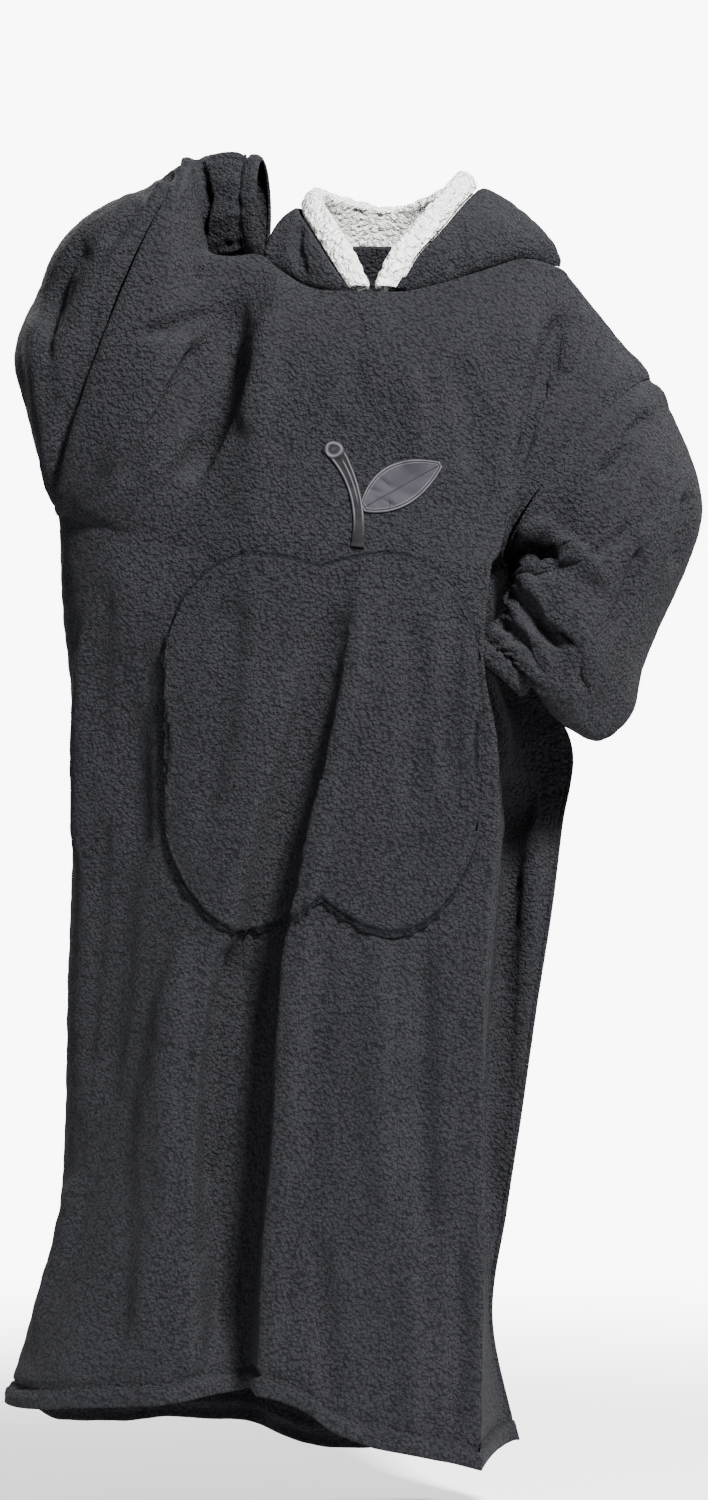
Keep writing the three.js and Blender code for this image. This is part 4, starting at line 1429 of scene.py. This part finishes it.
@dataclass
class BodyPanel(Piece):
    """Front or back panel, with a turned-up hem.

    Attributes:
        panel: which one.
        rows: grid rows.
        columns: grid columns.
        hem: height of the turned-up hem.
        hem_thick: how far the hem stands out.
        hem_soft: distance over which it comes to stand out.
        groove: depth of the hem's stitch groove.
        groove_wide: its half width.
        puckers: height of the small puckers at that groove.
        pucker_count: how many there are.
        pucker_wide: how far they reach up and down.
        lumps: height of the pile's lumps.
        tuft: width of a lump.
        seed: number that fixes where the lumps are.
        pile_fade: distance from the edges over which they fade out.
        sunk: depth of the soft dip along the seams.
        sunk_wide: width of that dip.
        sunk_arm: how much deeper it is at the armholes.
        crease_fade: distance from the edges over which the creases fade out.
    """

    panel: Panel = Panel.FRONT
    rows: int = 310
    columns: int = 148
    hem: float = 23
    hem_thick: float = 3.0
    hem_soft: float = 6
    groove: float = 5.0
    groove_wide: float = 7
    puckers: float = 1.3
    pucker_count: int = 17
    pucker_wide: float = 26
    lumps: float = 1.9
    tuft: float = 19
    seed: int = 3
    pile_fade: float = 10
    sunk: float = 2.4
    sunk_wide: float = 11
    sunk_arm: float = 0.8
    crease_fade: float = 40

    def cloth(self) -> Cloth:
        """The panel's grid, with its creases, its hem and the pile's lumps.

        Returns:
            The grid, in millimetres.
        """
        front = self.panel is Panel.FRONT
        v = np.linspace(0, LAST, self.rows)
        u = np.linspace(0, COLUMNS, self.columns)
        section, column = np.meshgrid(v, u, indexing="ij")
        cloth = Cloth(BodyForm().points(self.panel, section, column), flip=not front)
        creases = FRONT_CREASES if front else BACK_CREASES
        cloth.crease(creases, cloth.from_edge(self.crease_fade))
        self.turn_up(cloth)
        lumps = self.lumps * Nubs(self.tuft, self.seed).height(cloth.points)
        cloth.push(lumps * cloth.from_edge(self.pile_fade))
        arm = ease((ARMPIT + 0.6 - section) / 0.8)
        roll = ROLL_HIGH * cloth.beside_edge(ROLL_AT, ROLL_WIDE, "lr")
        cloth.push(roll * arm * cloth.from_edge(30, "t"))
        deep = self.sunk + self.sunk_arm * arm
        sunk = deep * (1 - cloth.from_edge(self.sunk_wide, "blr"))
        cloth.push(-sunk * cloth.from_edge(20, "t"))
        draw_back(cloth.points, "lr")
        draw_back(cloth.points, "t", NECK_SEAM)
        return cloth

    def turn_up(self, cloth: Cloth) -> None:
        """Thickens the hem and presses in its puckered stitch groove.

        Args:
            cloth: the panel's grid.
        """
        steps = np.linalg.norm(np.diff(cloth.points, axis=0), axis=-1)[::-1]
        up = np.concatenate([np.zeros((1, self.columns)), np.cumsum(steps, axis=0)])[::-1]
        hem = self.hem_thick * ease((self.hem - up) / self.hem_soft)
        cloth.push(hem - self.groove * hump((up - self.hem) / self.groove_wide))
        place = np.linspace(0, 1, self.columns)[None, :]
        puckers = self.puckers * pleats(place, self.pucker_count, 0.3)
        cloth.push(puckers * hump((up - self.hem) / self.pucker_wide))


@dataclass
class Sleeve(Piece):
    """Sleeve tube, gathered into its cuff.

    Attributes:
        form: its sections.
        folds: its large folds.
        creases: its smaller creases.
        inward: whether its grid turns the other way round.
        rows: grid rows.
        around: points round it.
        gathers: how many gathers it has at the cuff.
        gather: their height.
        gather_at: share of its length where they are highest, and how far they reach.
        ends: shares of its length over which creases fade out at the armhole and the cuff.
        lumps: height of the pile's lumps.
        tuft: width of a lump.
        seed: number that fixes where the lumps are.
        pile_fade: distance from the edges over which they fade out.
        sunk: depth of the soft dip along the seams.
        sunk_wide: width of that dip.
        inner_bend: x, z and height of the bunched cloth in its bend, where it has any.
        bunch: how far that cloth reaches.
    """

    form: Table = RAISED
    folds: list[tuple[float, ...]] = field(default_factory=list)
    creases: list[Crease] = field(default_factory=list)
    inward: bool = False
    rows: int = 130
    around: int = 168
    gathers: int = 15
    gather: float = 2.6
    gather_at: tuple[float, float] = (0.95, 0.16)
    ends: tuple[float, float] = (0.06, 0.1)
    lumps: float = 1.6
    tuft: float = 12
    seed: int = 5
    pile_fade: float = 8
    sunk: float = 3.0
    sunk_wide: float = 11
    inner_bend: tuple[float, float, float] | None = None
    bunch: float = 32

    def cloth(self) -> Cloth:
        """The sleeve's grid, creased and gathered.

        Returns:
            The grid, in millimetres.
        """
        v = np.linspace(0, 1, self.rows)
        u = np.arange(self.around) / self.around
        along, turn = np.meshgrid(v, u, indexing="ij")
        points = sleeve_points(self.form, self.folds, along, turn * 2 * math.pi)
        cloth = Cloth(points, closed=True, flip=self.inward)
        start, end = self.ends
        keep = ease(along / start) * ease((1 - along) / end)
        cloth.crease(self.creases, keep)
        if self.inner_bend:
            x, z, high = self.inner_bend
            away = np.hypot(cloth.points[..., 0] - x, cloth.points[..., 2] - z)
            cloth.push(high * hump(away / self.bunch) * keep)
        gathers = self.gather * pleats(turn, self.gathers, 0.2)
        middle, wide = self.gather_at
        cloth.push(gathers * hump((along - middle) / wide))
        lumps = self.lumps * Nubs(self.tuft, self.seed).height(cloth.points)
        cloth.push(ROLL_HIGH * cloth.beside_edge(ROLL_AT, ROLL_WIDE, "t"))
        sunk = self.sunk * (1 - cloth.from_edge(self.sunk_wide))
        cloth.push(lumps * cloth.from_edge(self.pile_fade) - sunk)
        draw_back(cloth.points, "tb")
        return cloth


@dataclass
class Cuff(Piece):
    """Cuff band at the end of a sleeve.

    Attributes:
        form: the sleeve's sections.
        folds: the sleeve's folds.
        end: middle of the cuff's mouth.
        inward: whether its grid turns the other way round.
        rows: grid rows.
        around: points round it.
        gathers: how many gathers it has at the sleeve.
        gather: their height.
        bulge: share by which its middle is wider and its mouth narrower.
        lumps: height of the pile's lumps.
        tuft: width of a lump.
        seed: number that fixes where the lumps are.
        pile_fade: distance from the edges over which they fade out.
        sunk: depth of the soft dip along the seams.
        sunk_wide: width of that dip.
    """

    form: Table = RAISED
    folds: list[tuple[float, ...]] = field(default_factory=list)
    end: tuple[float, float, float] = (0, 0, 0)
    inward: bool = False
    rows: int = 26
    around: int = 120
    gathers: int = 9
    gather: float = 1.1
    bulge: float = 0.03
    lumps: float = 1.5
    tuft: float = 9
    seed: int = 7
    pile_fade: float = 5
    sunk: float = 2.2
    sunk_wide: float = 7

    def cloth(self) -> Cloth:
        """The cuff's grid, from the sleeve's last ring to its mouth.

        Returns:
            The grid, in millimetres.
        """
        turn = np.arange(self.around) / self.around
        ring = sleeve_points(self.form, self.folds, np.ones(self.around), turn * 2 * math.pi)
        middle = ring.mean(axis=0)
        v = np.linspace(0, 1, self.rows)[:, None, None]
        scale = 1 + self.bulge * np.sin(math.pi * v) - self.bulge * v**4
        points = middle + (np.array(self.end) - middle) * v + (ring - middle) * scale
        cloth = Cloth(points, closed=True, flip=self.inward)
        ripple = self.gather * pleats(turn[None, :], self.gathers, 0.7) * (1 - v[..., 0])
        lumps = self.lumps * Nubs(self.tuft, self.seed).height(cloth.points)
        sunk = self.sunk * (1 - cloth.from_edge(self.sunk_wide))
        cloth.push(ripple + lumps * cloth.from_edge(self.pile_fade) - sunk)
        draw_back(cloth.points, "t")
        return cloth


def hood_shell(rows: int, columns: int) -> Cloth:
    """The hood's creased shell, from the neck seam to the trim.

    Args:
        rows: grid rows.
        columns: grid columns.

    Returns:
        The shell's grid, before its pile.
    """
    up, round_neck = np.linspace(0, 1, rows), np.linspace(0, HOOD_COLUMNS, columns)
    t, k = np.meshgrid(up, round_neck, indexing="ij")
    cloth = Cloth(HoodForm(BodyForm()).shell(k, t), flip=True)
    cloth.crease(HOOD_CREASES, cloth.from_edge(24))
    return cloth


def hold_inside(cloth: Cloth, shell: Cloth, rows: np.ndarray, depth: float) -> None:
    """Moves the points of some rows that come too near a shell to its inner side.

    Args:
        cloth: the cloth to move.
        shell: the shell that it lies inside.
        rows: share of the move that each row takes.
        depth: least distance from the shell, in millimetres.
    """
    places = shell.points.reshape(-1, 3)
    out = shell.normals().reshape(-1, 3)
    tree = kdtree.KDTree(len(places))
    for number, place in enumerate(places):
        tree.insert(place, number)
    tree.balance()
    for row in np.flatnonzero(rows > 0):
        for column, point in enumerate(cloth.points[row]):
            number = tree.find(point)[1]
            above = float(np.dot(point - places[number], out[number])) + depth
            if above > 0:
                cloth.points[row, column] = point - rows[row] * above * out[number]


@dataclass
class Hood(Piece):
    """Outer shell of the hood.

    Attributes:
        rows: grid rows.
        columns: grid columns.
        lumps: height of the pile's lumps.
        tuft: width of a lump.
        seed: number that fixes where the lumps are.
        pile_fade: distance from the edges over which they fade out.
        sunk: depth of the soft dip along the seams.
        sunk_wide: width of that dip.
    """

    rows: int = 64
    columns: int = 210
    lumps: float = 1.6
    tuft: float = 12
    seed: int = 11
    pile_fade: float = 8
    sunk: float = 1.6
    sunk_wide: float = 8

    def cloth(self) -> Cloth:
        """The shell's grid, from the neck seam to the trim.

        Returns:
            The grid, in millimetres.
        """
        cloth = hood_shell(self.rows, self.columns)
        lumps = self.lumps * Nubs(self.tuft, self.seed).height(cloth.points)
        sunk = self.sunk * (1 - cloth.from_edge(self.sunk_wide, "b"))
        cloth.push(lumps * cloth.from_edge(self.pile_fade) - sunk)
        draw_back(cloth.points, "tb", NECK_SEAM)
        return cloth


@dataclass
class Lining(Piece):
    """White lining of the hood, rolled out as the trim.

    Attributes:
        rows: grid rows.
        columns: grid columns.
        trim_rows: those of them on the trim.
        curls: height of its curls on the trim.
        tuft: width of a curl.
        seed: number that fixes where the curls are.
        pile_fade: distance from the edges over which they fade out.
        sunk: depth of the soft dip along the seams.
        sunk_wide: width of that dip.
        clear: least gap to the shell.
        guide: rows and columns of the shell that it is held inside.
    """

    slot: Slot = Slot.LINING
    wall: float = SHERPA_WALL
    rows: int = 74
    columns: int = 250
    trim_rows: int = 46
    curls: float = 4.2
    tuft: float = 9.5
    seed: int = 13
    pile_fade: float = 6
    sunk: float = 1.2
    sunk_wide: float = 4
    clear: float = 2.5
    guide: tuple[int, int] = (48, 160)

    def cloth(self) -> Cloth:
        """The lining's grid, with its curled pile raised most on the trim.

        Returns:
            The grid, in millimetres.
        """
        trim = np.linspace(0, 4, self.trim_rows)
        inside = np.linspace(4, 10, self.rows - self.trim_rows + 1)[1:]
        row = np.concatenate([trim, inside])
        k = np.linspace(0, HOOD_COLUMNS, self.columns)
        cloth = Cloth(HoodForm(BodyForm()).lining(row, k), flip=True)
        share = (1 - 0.62 * ease((row - 3) / 2))[:, None]
        curls = self.curls * Nubs(self.tuft, self.seed).height(cloth.points) * share
        inner = 2.2 * ease((row - 4) / 1.5)[:, None] * cloth.from_edge(20)
        sunk = self.sunk * (1 - cloth.from_edge(self.sunk_wide))
        cloth.push(curls * cloth.from_edge(self.pile_fade) - sunk + inner)
        hold_inside(cloth, hood_shell(*self.guide), ease((row - 3.6) / 0.8), CLOTH + self.clear)
        draw_back(cloth.points, "tb")
        return cloth


@dataclass
class Pocket(Piece):
    """Two-lobed pouch pocket, puckered at its edge and open at the sides.

    Attributes:
        ground: the front that it is sewn on.
        middle: x of its middle.
        half: half its width.
        top: height of its top edge.
        bottom: height of its bottom edge.
        corner: height of its rounded corners.
        top_lobe: rise of each lobe's top.
        foot_lobe: drop of each lobe's foot.
        stitch: distance of the stitched line from the edge.
        seat: gap under its stitched edge.
        pouch: how far its middle stands off the front.
        lumps: height of the pile's lumps.
        tuft: width of a lump.
        seed: number that fixes where the lumps are.
        pile_fade: distance from the edges over which they fade out.
        rows: grid rows.
        columns: grid columns.
    """

    ground: Ground | None = None
    middle: float = -57
    half: float = 174
    top: float = -349
    bottom: float = -722
    top_lobe: float = 16
    foot_lobe: float = 40
    corner: float = 105
    stitch: float = 4.2
    seat: float = 1.2
    pouch: float = 12
    lumps: float = 1.6
    tuft: float = 13
    seed: int = 17
    pile_fade: float = 6
    rows: int = 130
    columns: int = 160

    def height(self, x: np.ndarray, down: np.ndarray) -> np.ndarray:
        """Height of the pocket's rows at each x.

        Args:
            x: places across.
            down: shares of the way down.

        Returns:
            One height for each pair.
        """
        side = np.clip((x - self.middle) / self.half, -1, 1)
        lobes = 1 - (2 * np.abs(np.abs(side) - 0.5)) ** 2
        bend = np.clip((np.abs(side) - 0.4) / 0.6, 0, 1)
        drop = self.corner * (1 - np.sqrt(np.maximum(0, 1 - bend**2)))
        top = self.top + self.top_lobe * lobes - drop
        bottom = self.bottom - self.foot_lobe * lobes + 0.8 * drop
        return top * (1 - down) + bottom * down

    def cloth(self) -> Cloth:
        """The pocket's grid, lifted off the front and puckered along its edge.

        Returns:
            The grid, in millimetres.
        """
        d = np.linspace(0, 1, self.rows)[:, None]
        wide = np.linspace(self.middle - self.half, self.middle + self.half, 240)[None, :]
        x0 = np.repeat(wide, self.rows, axis=0)
        y0 = self.ground.depth(x0, self.height(x0, d))
        steps = np.hypot(np.diff(x0, axis=1), np.diff(y0, axis=1))
        run = np.concatenate([np.zeros((self.rows, 1)), np.cumsum(steps, axis=1)], axis=1)
        run = (run / run[:, -1:]).mean(axis=0)
        x = np.interp(np.linspace(0, 1, self.columns), run, wide[0])[None, :].repeat(self.rows, 0)
        z = self.height(x, d)
        y = self.ground.depth(x, z)
        soft = y.copy()
        for _ in range(10):
            soft[:, 1:-1] = (soft[:, :-2] + 2 * soft[:, 1:-1] + soft[:, 2:]) / 4
        gap = self.seat + self.pouch * np.sin(math.pi * d) ** 0.7
        y = np.minimum(soft, y) - gap - CLOTH
        cloth = Cloth(np.stack([x, y, z], axis=-1))
        edge = cloth.from_edge(16)
        u = np.linspace(0, 1, self.columns)[None, :]
        cloth.push(2.0 * pleats(u, 19, 0.4) * (1 - edge) * np.abs(1 - 2 * d) ** 4)
        cloth.push(1.6 * pleats(d, 9, 0.9) * (1 - edge) * np.abs(2 * u - 1) ** 6)
        cloth.push(-1.6 * hump((cloth.from_edge(44) - 0.3) / 0.2) * (1 - 0.6 * hump(2 * d - 1)))
        lumps = self.lumps * Nubs(self.tuft, self.seed).height(cloth.points)
        cloth.push(lumps * cloth.from_edge(self.pile_fade))
        # Stitch line mark, coloured near black by the fleece: dark stitching with painted shade of
        # the groove pressed in below.
        self.threads = ease(1.7 * hump((cloth.inset() - self.stitch) / 5.6))
        cloth.push(2.2 * cloth.beside_edge(14, 10) - 2.0 * self.threads)
        return cloth


@dataclass
class SatinPiece(Piece):
    """Satin piece sewn flat on the front.

    Attributes:
        ground: the front that it is sewn on.
        gap: how far it stands off the front.
        raised: how far its pale stitching stands up.
    """

    slot: Slot = Slot.SATIN
    wall: float = SATIN_WALL
    ground: Ground | None = None
    gap: float = 0.9
    raised: float = 0.7

    def lay(self, x: np.ndarray, z: np.ndarray) -> Cloth:
        """Lays a grid on the front.

        Args:
            x: its places across.
            z: its heights.

        Returns:
            The grid, with its outward side to the viewer.
        """
        y = self.ground.depth(x, z) - self.gap - self.wall
        cloth = Cloth(np.stack([x, y, z], axis=-1))
        rows, columns = x.shape
        cloth.flip = bool(cloth.normals()[rows // 2, columns // 2, 1] > 0)
        return cloth


@dataclass
class Stalk(SatinPiece):
    """Satin stalk with an oval cut end.

    Attributes:
        foot: its lower end (x, z).
        bend: the point that it bends towards.
        head: its upper end.
        wide: its width.
        flare: how much wider its head is.
        cut: middle and half height of the oval cut end, as shares of the way up.
        rows: grid rows.
        columns: grid columns.
    """

    foot: tuple[float, float] = (-17, -333)
    bend: tuple[float, float] = (-8, -268)
    head: tuple[float, float] = (-46, -220)
    wide: float = 12
    flare: float = 10
    cut: tuple[float, float] = (0.935, 0.062)
    rows: int = 70
    columns: int = 30

    def cloth(self) -> Cloth:
        """The stalk's grid, dark, with pale stitching along it and round its oval cut end.

        Returns:
            The grid, in millimetres.
        """
        v = np.linspace(0, 1, self.rows)[:, None]
        u = np.linspace(-1, 1, self.columns)[None, :]
        foot, bend, head = (np.array(place, float) for place in (self.foot, self.bend, self.head))
        line = [foot[i] * (1 - v) ** 2 + 2 * bend[i] * v * (1 - v) + head[i] * v**2 for i in (0, 1)]
        slope = [2 * (1 - v) * (bend[i] - foot[i]) + 2 * v * (head[i] - bend[i]) for i in (0, 1)]
        size = np.hypot(*slope)
        half = 0.5 * (self.wide + self.flare * v**4) + 1.5 * (1 - v) ** 6
        skew = -0.12 * u * half * v**3 + 5 * (1 - u**2) * v**10
        x = line[0] + slope[1] / size * half * u + slope[0] / size * skew
        z = line[1] - slope[0] / size * half * u + slope[1] / size * skew
        cloth = self.lay(x, z)
        along_rim = ease((0.9 - v) / 0.04) * ease((v - 0.04) / 0.3)
        rim = cloth.beside_edge(1.7, 1.5, "lr") * along_rim
        middle = hump((u - 0.15) * half / 1.3) * ease((0.84 - v) / 0.04) * ease((v - 0.3) / 0.2)
        place, high = self.cut
        ring = hump((np.hypot(u, (v - place) / high) - 0.82) / 0.3)
        slit = 0.7 * hump(u / 0.7) * hump((v - place) / 0.012)
        lines = np.clip(rim + middle + (ring + slit), 0, 1)
        self.threads = 2 * lines - 1
        cloth.push(self.raised * lines)
        return cloth


@dataclass
class Leaf(SatinPiece):
    """Satin leaf with a double stitched outline, a midrib and small crinkles.

    Attributes:
        foot: its stem end (x, z).
        tip: its tip.
        long: its length.
        wide: its width.
        sunk: how far its dark stitching and the painted shade of its crinkles lie in.
        crinkles: place along it, lean and place across of each small crinkle.
        rows: grid rows.
        columns: grid columns.
    """

    foot: tuple[float, float] = (-13, -291)
    tip: tuple[float, float] = (78, -239)
    long: float = 105
    wide: float = 46
    sunk: float = 0.4
    crinkles: tuple[tuple[float, float, float], ...] = (
        (0.24, 0.12, 0.5), (0.34, -0.1, 0.6), (0.42, 0.1, -0.5), (0.3, 0.14, -0.6),
    )
    rows: int = 130
    columns: int = 70

    def cloth(self) -> Cloth:
        """The leaf's grid, with its stitched lines raised.

        Returns:
            The grid, in millimetres.
        """
        along = np.linspace(0, 1, self.rows)[:, None]
        u = np.linspace(-1, 1, self.columns)[None, :]
        t = 0.02 + 0.96 * along
        full = 1 - 0.14 * u
        half = 0.5 * self.wide * full * np.sin(math.pi * t**0.9) ** 0.85 + 1
        foot, tip = np.array(self.foot, float), np.array(self.tip, float)
        way = unit(tip - foot)
        x = foot[0] + (tip[0] - foot[0]) * t + way[1] * half * u
        z = foot[1] + (tip[1] - foot[1]) * t - way[0] * half * u
        cloth = self.lay(x, z)
        pale = cloth.beside_edge(1.5, 1.3) + 0.8 * cloth.beside_edge(4.2, 1.0)
        dark = cloth.beside_edge(2.9, 0.9) + 0.8 * hump(u * half / 1.1)
        # Each crinkle is pressed in and darkened along a thin line; the darkening is painted shade in
        # the crinkle.
        for place, lean, across in self.crinkles:
            off = (along - place - lean * u) * self.long
            dark = dark + 0.6 * hump(off / 1.6) * hump((u - across) / 0.5)
            cloth.push(-0.8 * hump(off / 5) * hump((u - across) / 0.6))
        pale, dark = np.clip(pale, 0, 1), np.clip(dark, 0, 1)
        self.threads = pale - dark
        cloth.push(self.raised * pale - self.sunk * dark)
        return cloth


@dataclass(frozen=True)
class Lamp:
    """Square soft light.

    Attributes:
        name: its name.
        place: where it is, in metres.
        size: its width, in metres.
        power: its watts.
        colour: its colour.
    """

    name: str
    place: tuple[float, float, float]
    size: float
    power: float
    colour: tuple[float, float, float] = (1, 1, 1)

    def build(self, target: tuple[float, float, float]) -> None:
        """Adds the light, turned to a point.

        Args:
            target: the point.
        """
        data = bpy.data.lights.new(self.name, "AREA")
        data.size, data.energy, data.color = self.size, self.power, self.colour
        lamp = bpy.data.objects.new(self.name, data)
        lamp.location = self.place
        way = Vector(target) - Vector(self.place)
        lamp.rotation_euler = way.to_track_quat("-Z", "Y").to_euler()
        bpy.context.scene.collection.objects.link(lamp)


@dataclass
class Studio:
    """Pale floor in white surroundings, soft lights and the camera.

    Attributes:
        floor: height of the floor.
        reach: half width of the floor.
        fade: distances from its middle where the floor starts to fade out, and has.
        eye: the camera's place.
        frame_height: height that the picture shows at the garment.
        sensor: height of the camera's sensor, in millimetres.
        ambient: strength of the soft light from all round.
        seen_white: how bright the surroundings look.
        target: the point that the lamps are turned to.
        lamps: the lamps.
    """

    floor: float = -1.44
    reach: float = 4
    fade: tuple[float, float] = (0.7, 2.4)
    eye: tuple[float, float, float] = (-0.0205, -4.5, -0.556)
    frame_height: float = 1.71
    sensor: float = 36
    ambient: float = 0.17
    seen_white: float = 9.0
    target: tuple[float, float, float] = (-0.05, 0, -0.5)
    lamps: tuple[Lamp, ...] = (
        Lamp("key", (1.45, -3.25, 2.15), 0.7, 1060, (1, 0.99, 0.97)),
        Lamp("fill", (-1.8, -4.0, 0.0), 1.2, 55, (0.95, 0.97, 1)),
        Lamp("back_left", (-1.6, 3.4, 1.8), 1.2, 330),
        Lamp("back_right", (2.4, 2.6, 0.8), 1.4, 160),
    )

    def paint(self) -> bpy.types.Material:
        """The floor's pale paint, which fades out into the white surroundings.

        Returns:
            The material.
        """
        material, n = start_material("pale_floor")
        place = n.add("ShaderNodeTexCoord").outputs["Object"]
        ends = {0: place, 1: (0, 0, self.floor)}
        away = n.add("ShaderNodeVectorMath", ends, operation="DISTANCE").outputs["Value"]
        start, end = self.fade
        steps = {"Value": away, "From Min": start, "From Max": end, "To Min": 1.0, "To Max": 0.0}
        fade = n.add("ShaderNodeMapRange", steps, interpolation_type="SMOOTHSTEP")
        grain = n.add("ShaderNodeTexNoise", {"Vector": place, "Scale": 3.0}).outputs["Fac"]
        tone = n.mix(grain, (0.88, 0.88, 0.885, 1), (0.93, 0.93, 0.93, 1))
        n.surface({"Base Color": tone, "Roughness": 0.8, "Alpha": fade.outputs["Result"]})
        return material

    def ground(self) -> None:
        """Adds the floor."""
        bm = bmesh.new()
        bmesh.ops.create_grid(bm, x_segments=8, y_segments=8, size=self.reach)
        mesh = bpy.data.meshes.new("floor")
        for vert in bm.verts:
            vert.co.z = self.floor
        bm.to_mesh(mesh)
        bm.free()
        mesh.materials.append(self.paint())
        floor = bpy.data.objects.new("floor", mesh)
        bpy.context.scene.collection.objects.link(floor)

    def surroundings(self) -> None:
        """Sets white surroundings, seen bright and lighting the garment softly."""
        world = bpy.data.worlds.new("studio")
        world.use_nodes = True
        n = Nodes(world.node_tree)
        back = world.node_tree.nodes["Background"]
        back.inputs["Color"].default_value = (0.97, 0.98, 1.0, 1)
        seen = n.add("ShaderNodeLightPath").outputs["Is Camera Ray"]
        strength = n.math("MULTIPLY_ADD", seen, self.seen_white - self.ambient, self.ambient)
        world.node_tree.links.new(strength, back.inputs["Strength"])
        bpy.context.scene.world = world

    def camera(self) -> None:
        """Adds the camera, level and looking along +Y."""
        view = bpy.data.cameras.new("camera")
        view.sensor_fit = "VERTICAL"
        view.sensor_height = self.sensor
        view.lens = self.sensor * -self.eye[1] / self.frame_height
        camera = bpy.data.objects.new("camera", view)
        camera.location = self.eye
        camera.rotation_euler = (math.pi / 2, 0, 0)
        bpy.context.scene.collection.objects.link(camera)
        bpy.context.scene.camera = camera

    def build(self) -> None:
        """Builds the studio."""
        self.ground()
        self.surroundings()
        for lamp in self.lamps:
            lamp.build(self.target)
        self.camera()


def main() -> None:
    """Builds the garment piece by piece, then the studio."""
    logging.basicConfig(level=logging.INFO, format="%(message)s", stream=sys.stdout)
    curls = curl_group()
    materials = {
        Slot.FLEECE: FLEECE.build(curls),
        Slot.LINING: SHERPA.build(curls),
        Slot.SATIN: SATIN.build(),
    }
    raised = {"form": RAISED, "folds": RAISED_FOLDS}
    hip = {"form": HIP, "folds": HIP_FOLDS, "inward": True}
    on_front, on_back = ("front_body",), ("back_body",)
    front = BodyPanel("front_body", (0.98, 1.32), 1.1).make(materials)
    ground = Ground(front)
    pieces = [
        BodyPanel("back_body", (0.9, 1.36), 1.0, panel=Panel.BACK, columns=120),
        Sleeve(
            "sleeve_raised", (0.62, 0.5), 0.21, "draped", on_back,
            creases=RAISED_CREASES, **raised,
        ),
        Sleeve(
            "sleeve_hip", (0.62, 0.5), 0.21, "draped", on_front,
            creases=HIP_CREASES, inner_bend=(176, -356, 9), **hip,
        ),
        Cuff(
            "cuff_raised", (0.32, 0.028), 0.0082, "gathered", ("sleeve_raised",),
            end=(-124, 64, 69), **raised,
        ),
        Cuff(
            "cuff_hip", (0.24, 0.026), 0.006, "gathered", ("sleeve_hip",),
            end=(137, -97, -474), **hip,
        ),
        Hood("hood", (0.72, 0.26), 0.135, "draped", on_back),
        Lining("hood_lining", (0.72, 0.22), 0.115, "draped", ("hood",)),
        Pocket("pocket", (0.42, 0.42), 0.152, "hung", on_front, ground=ground),
        Stalk("stem", (0.03, 0.13), 0.002, "laid", on_front, ground=ground),
        Leaf("leaf", (0.05, 0.11), 0.004, "laid", on_front, ground=ground),
    ]
    for piece in pieces:
        piece.make(materials)
    Studio().build()
    LOG.info("studio built")


if __name__ == "__main__":
    main()
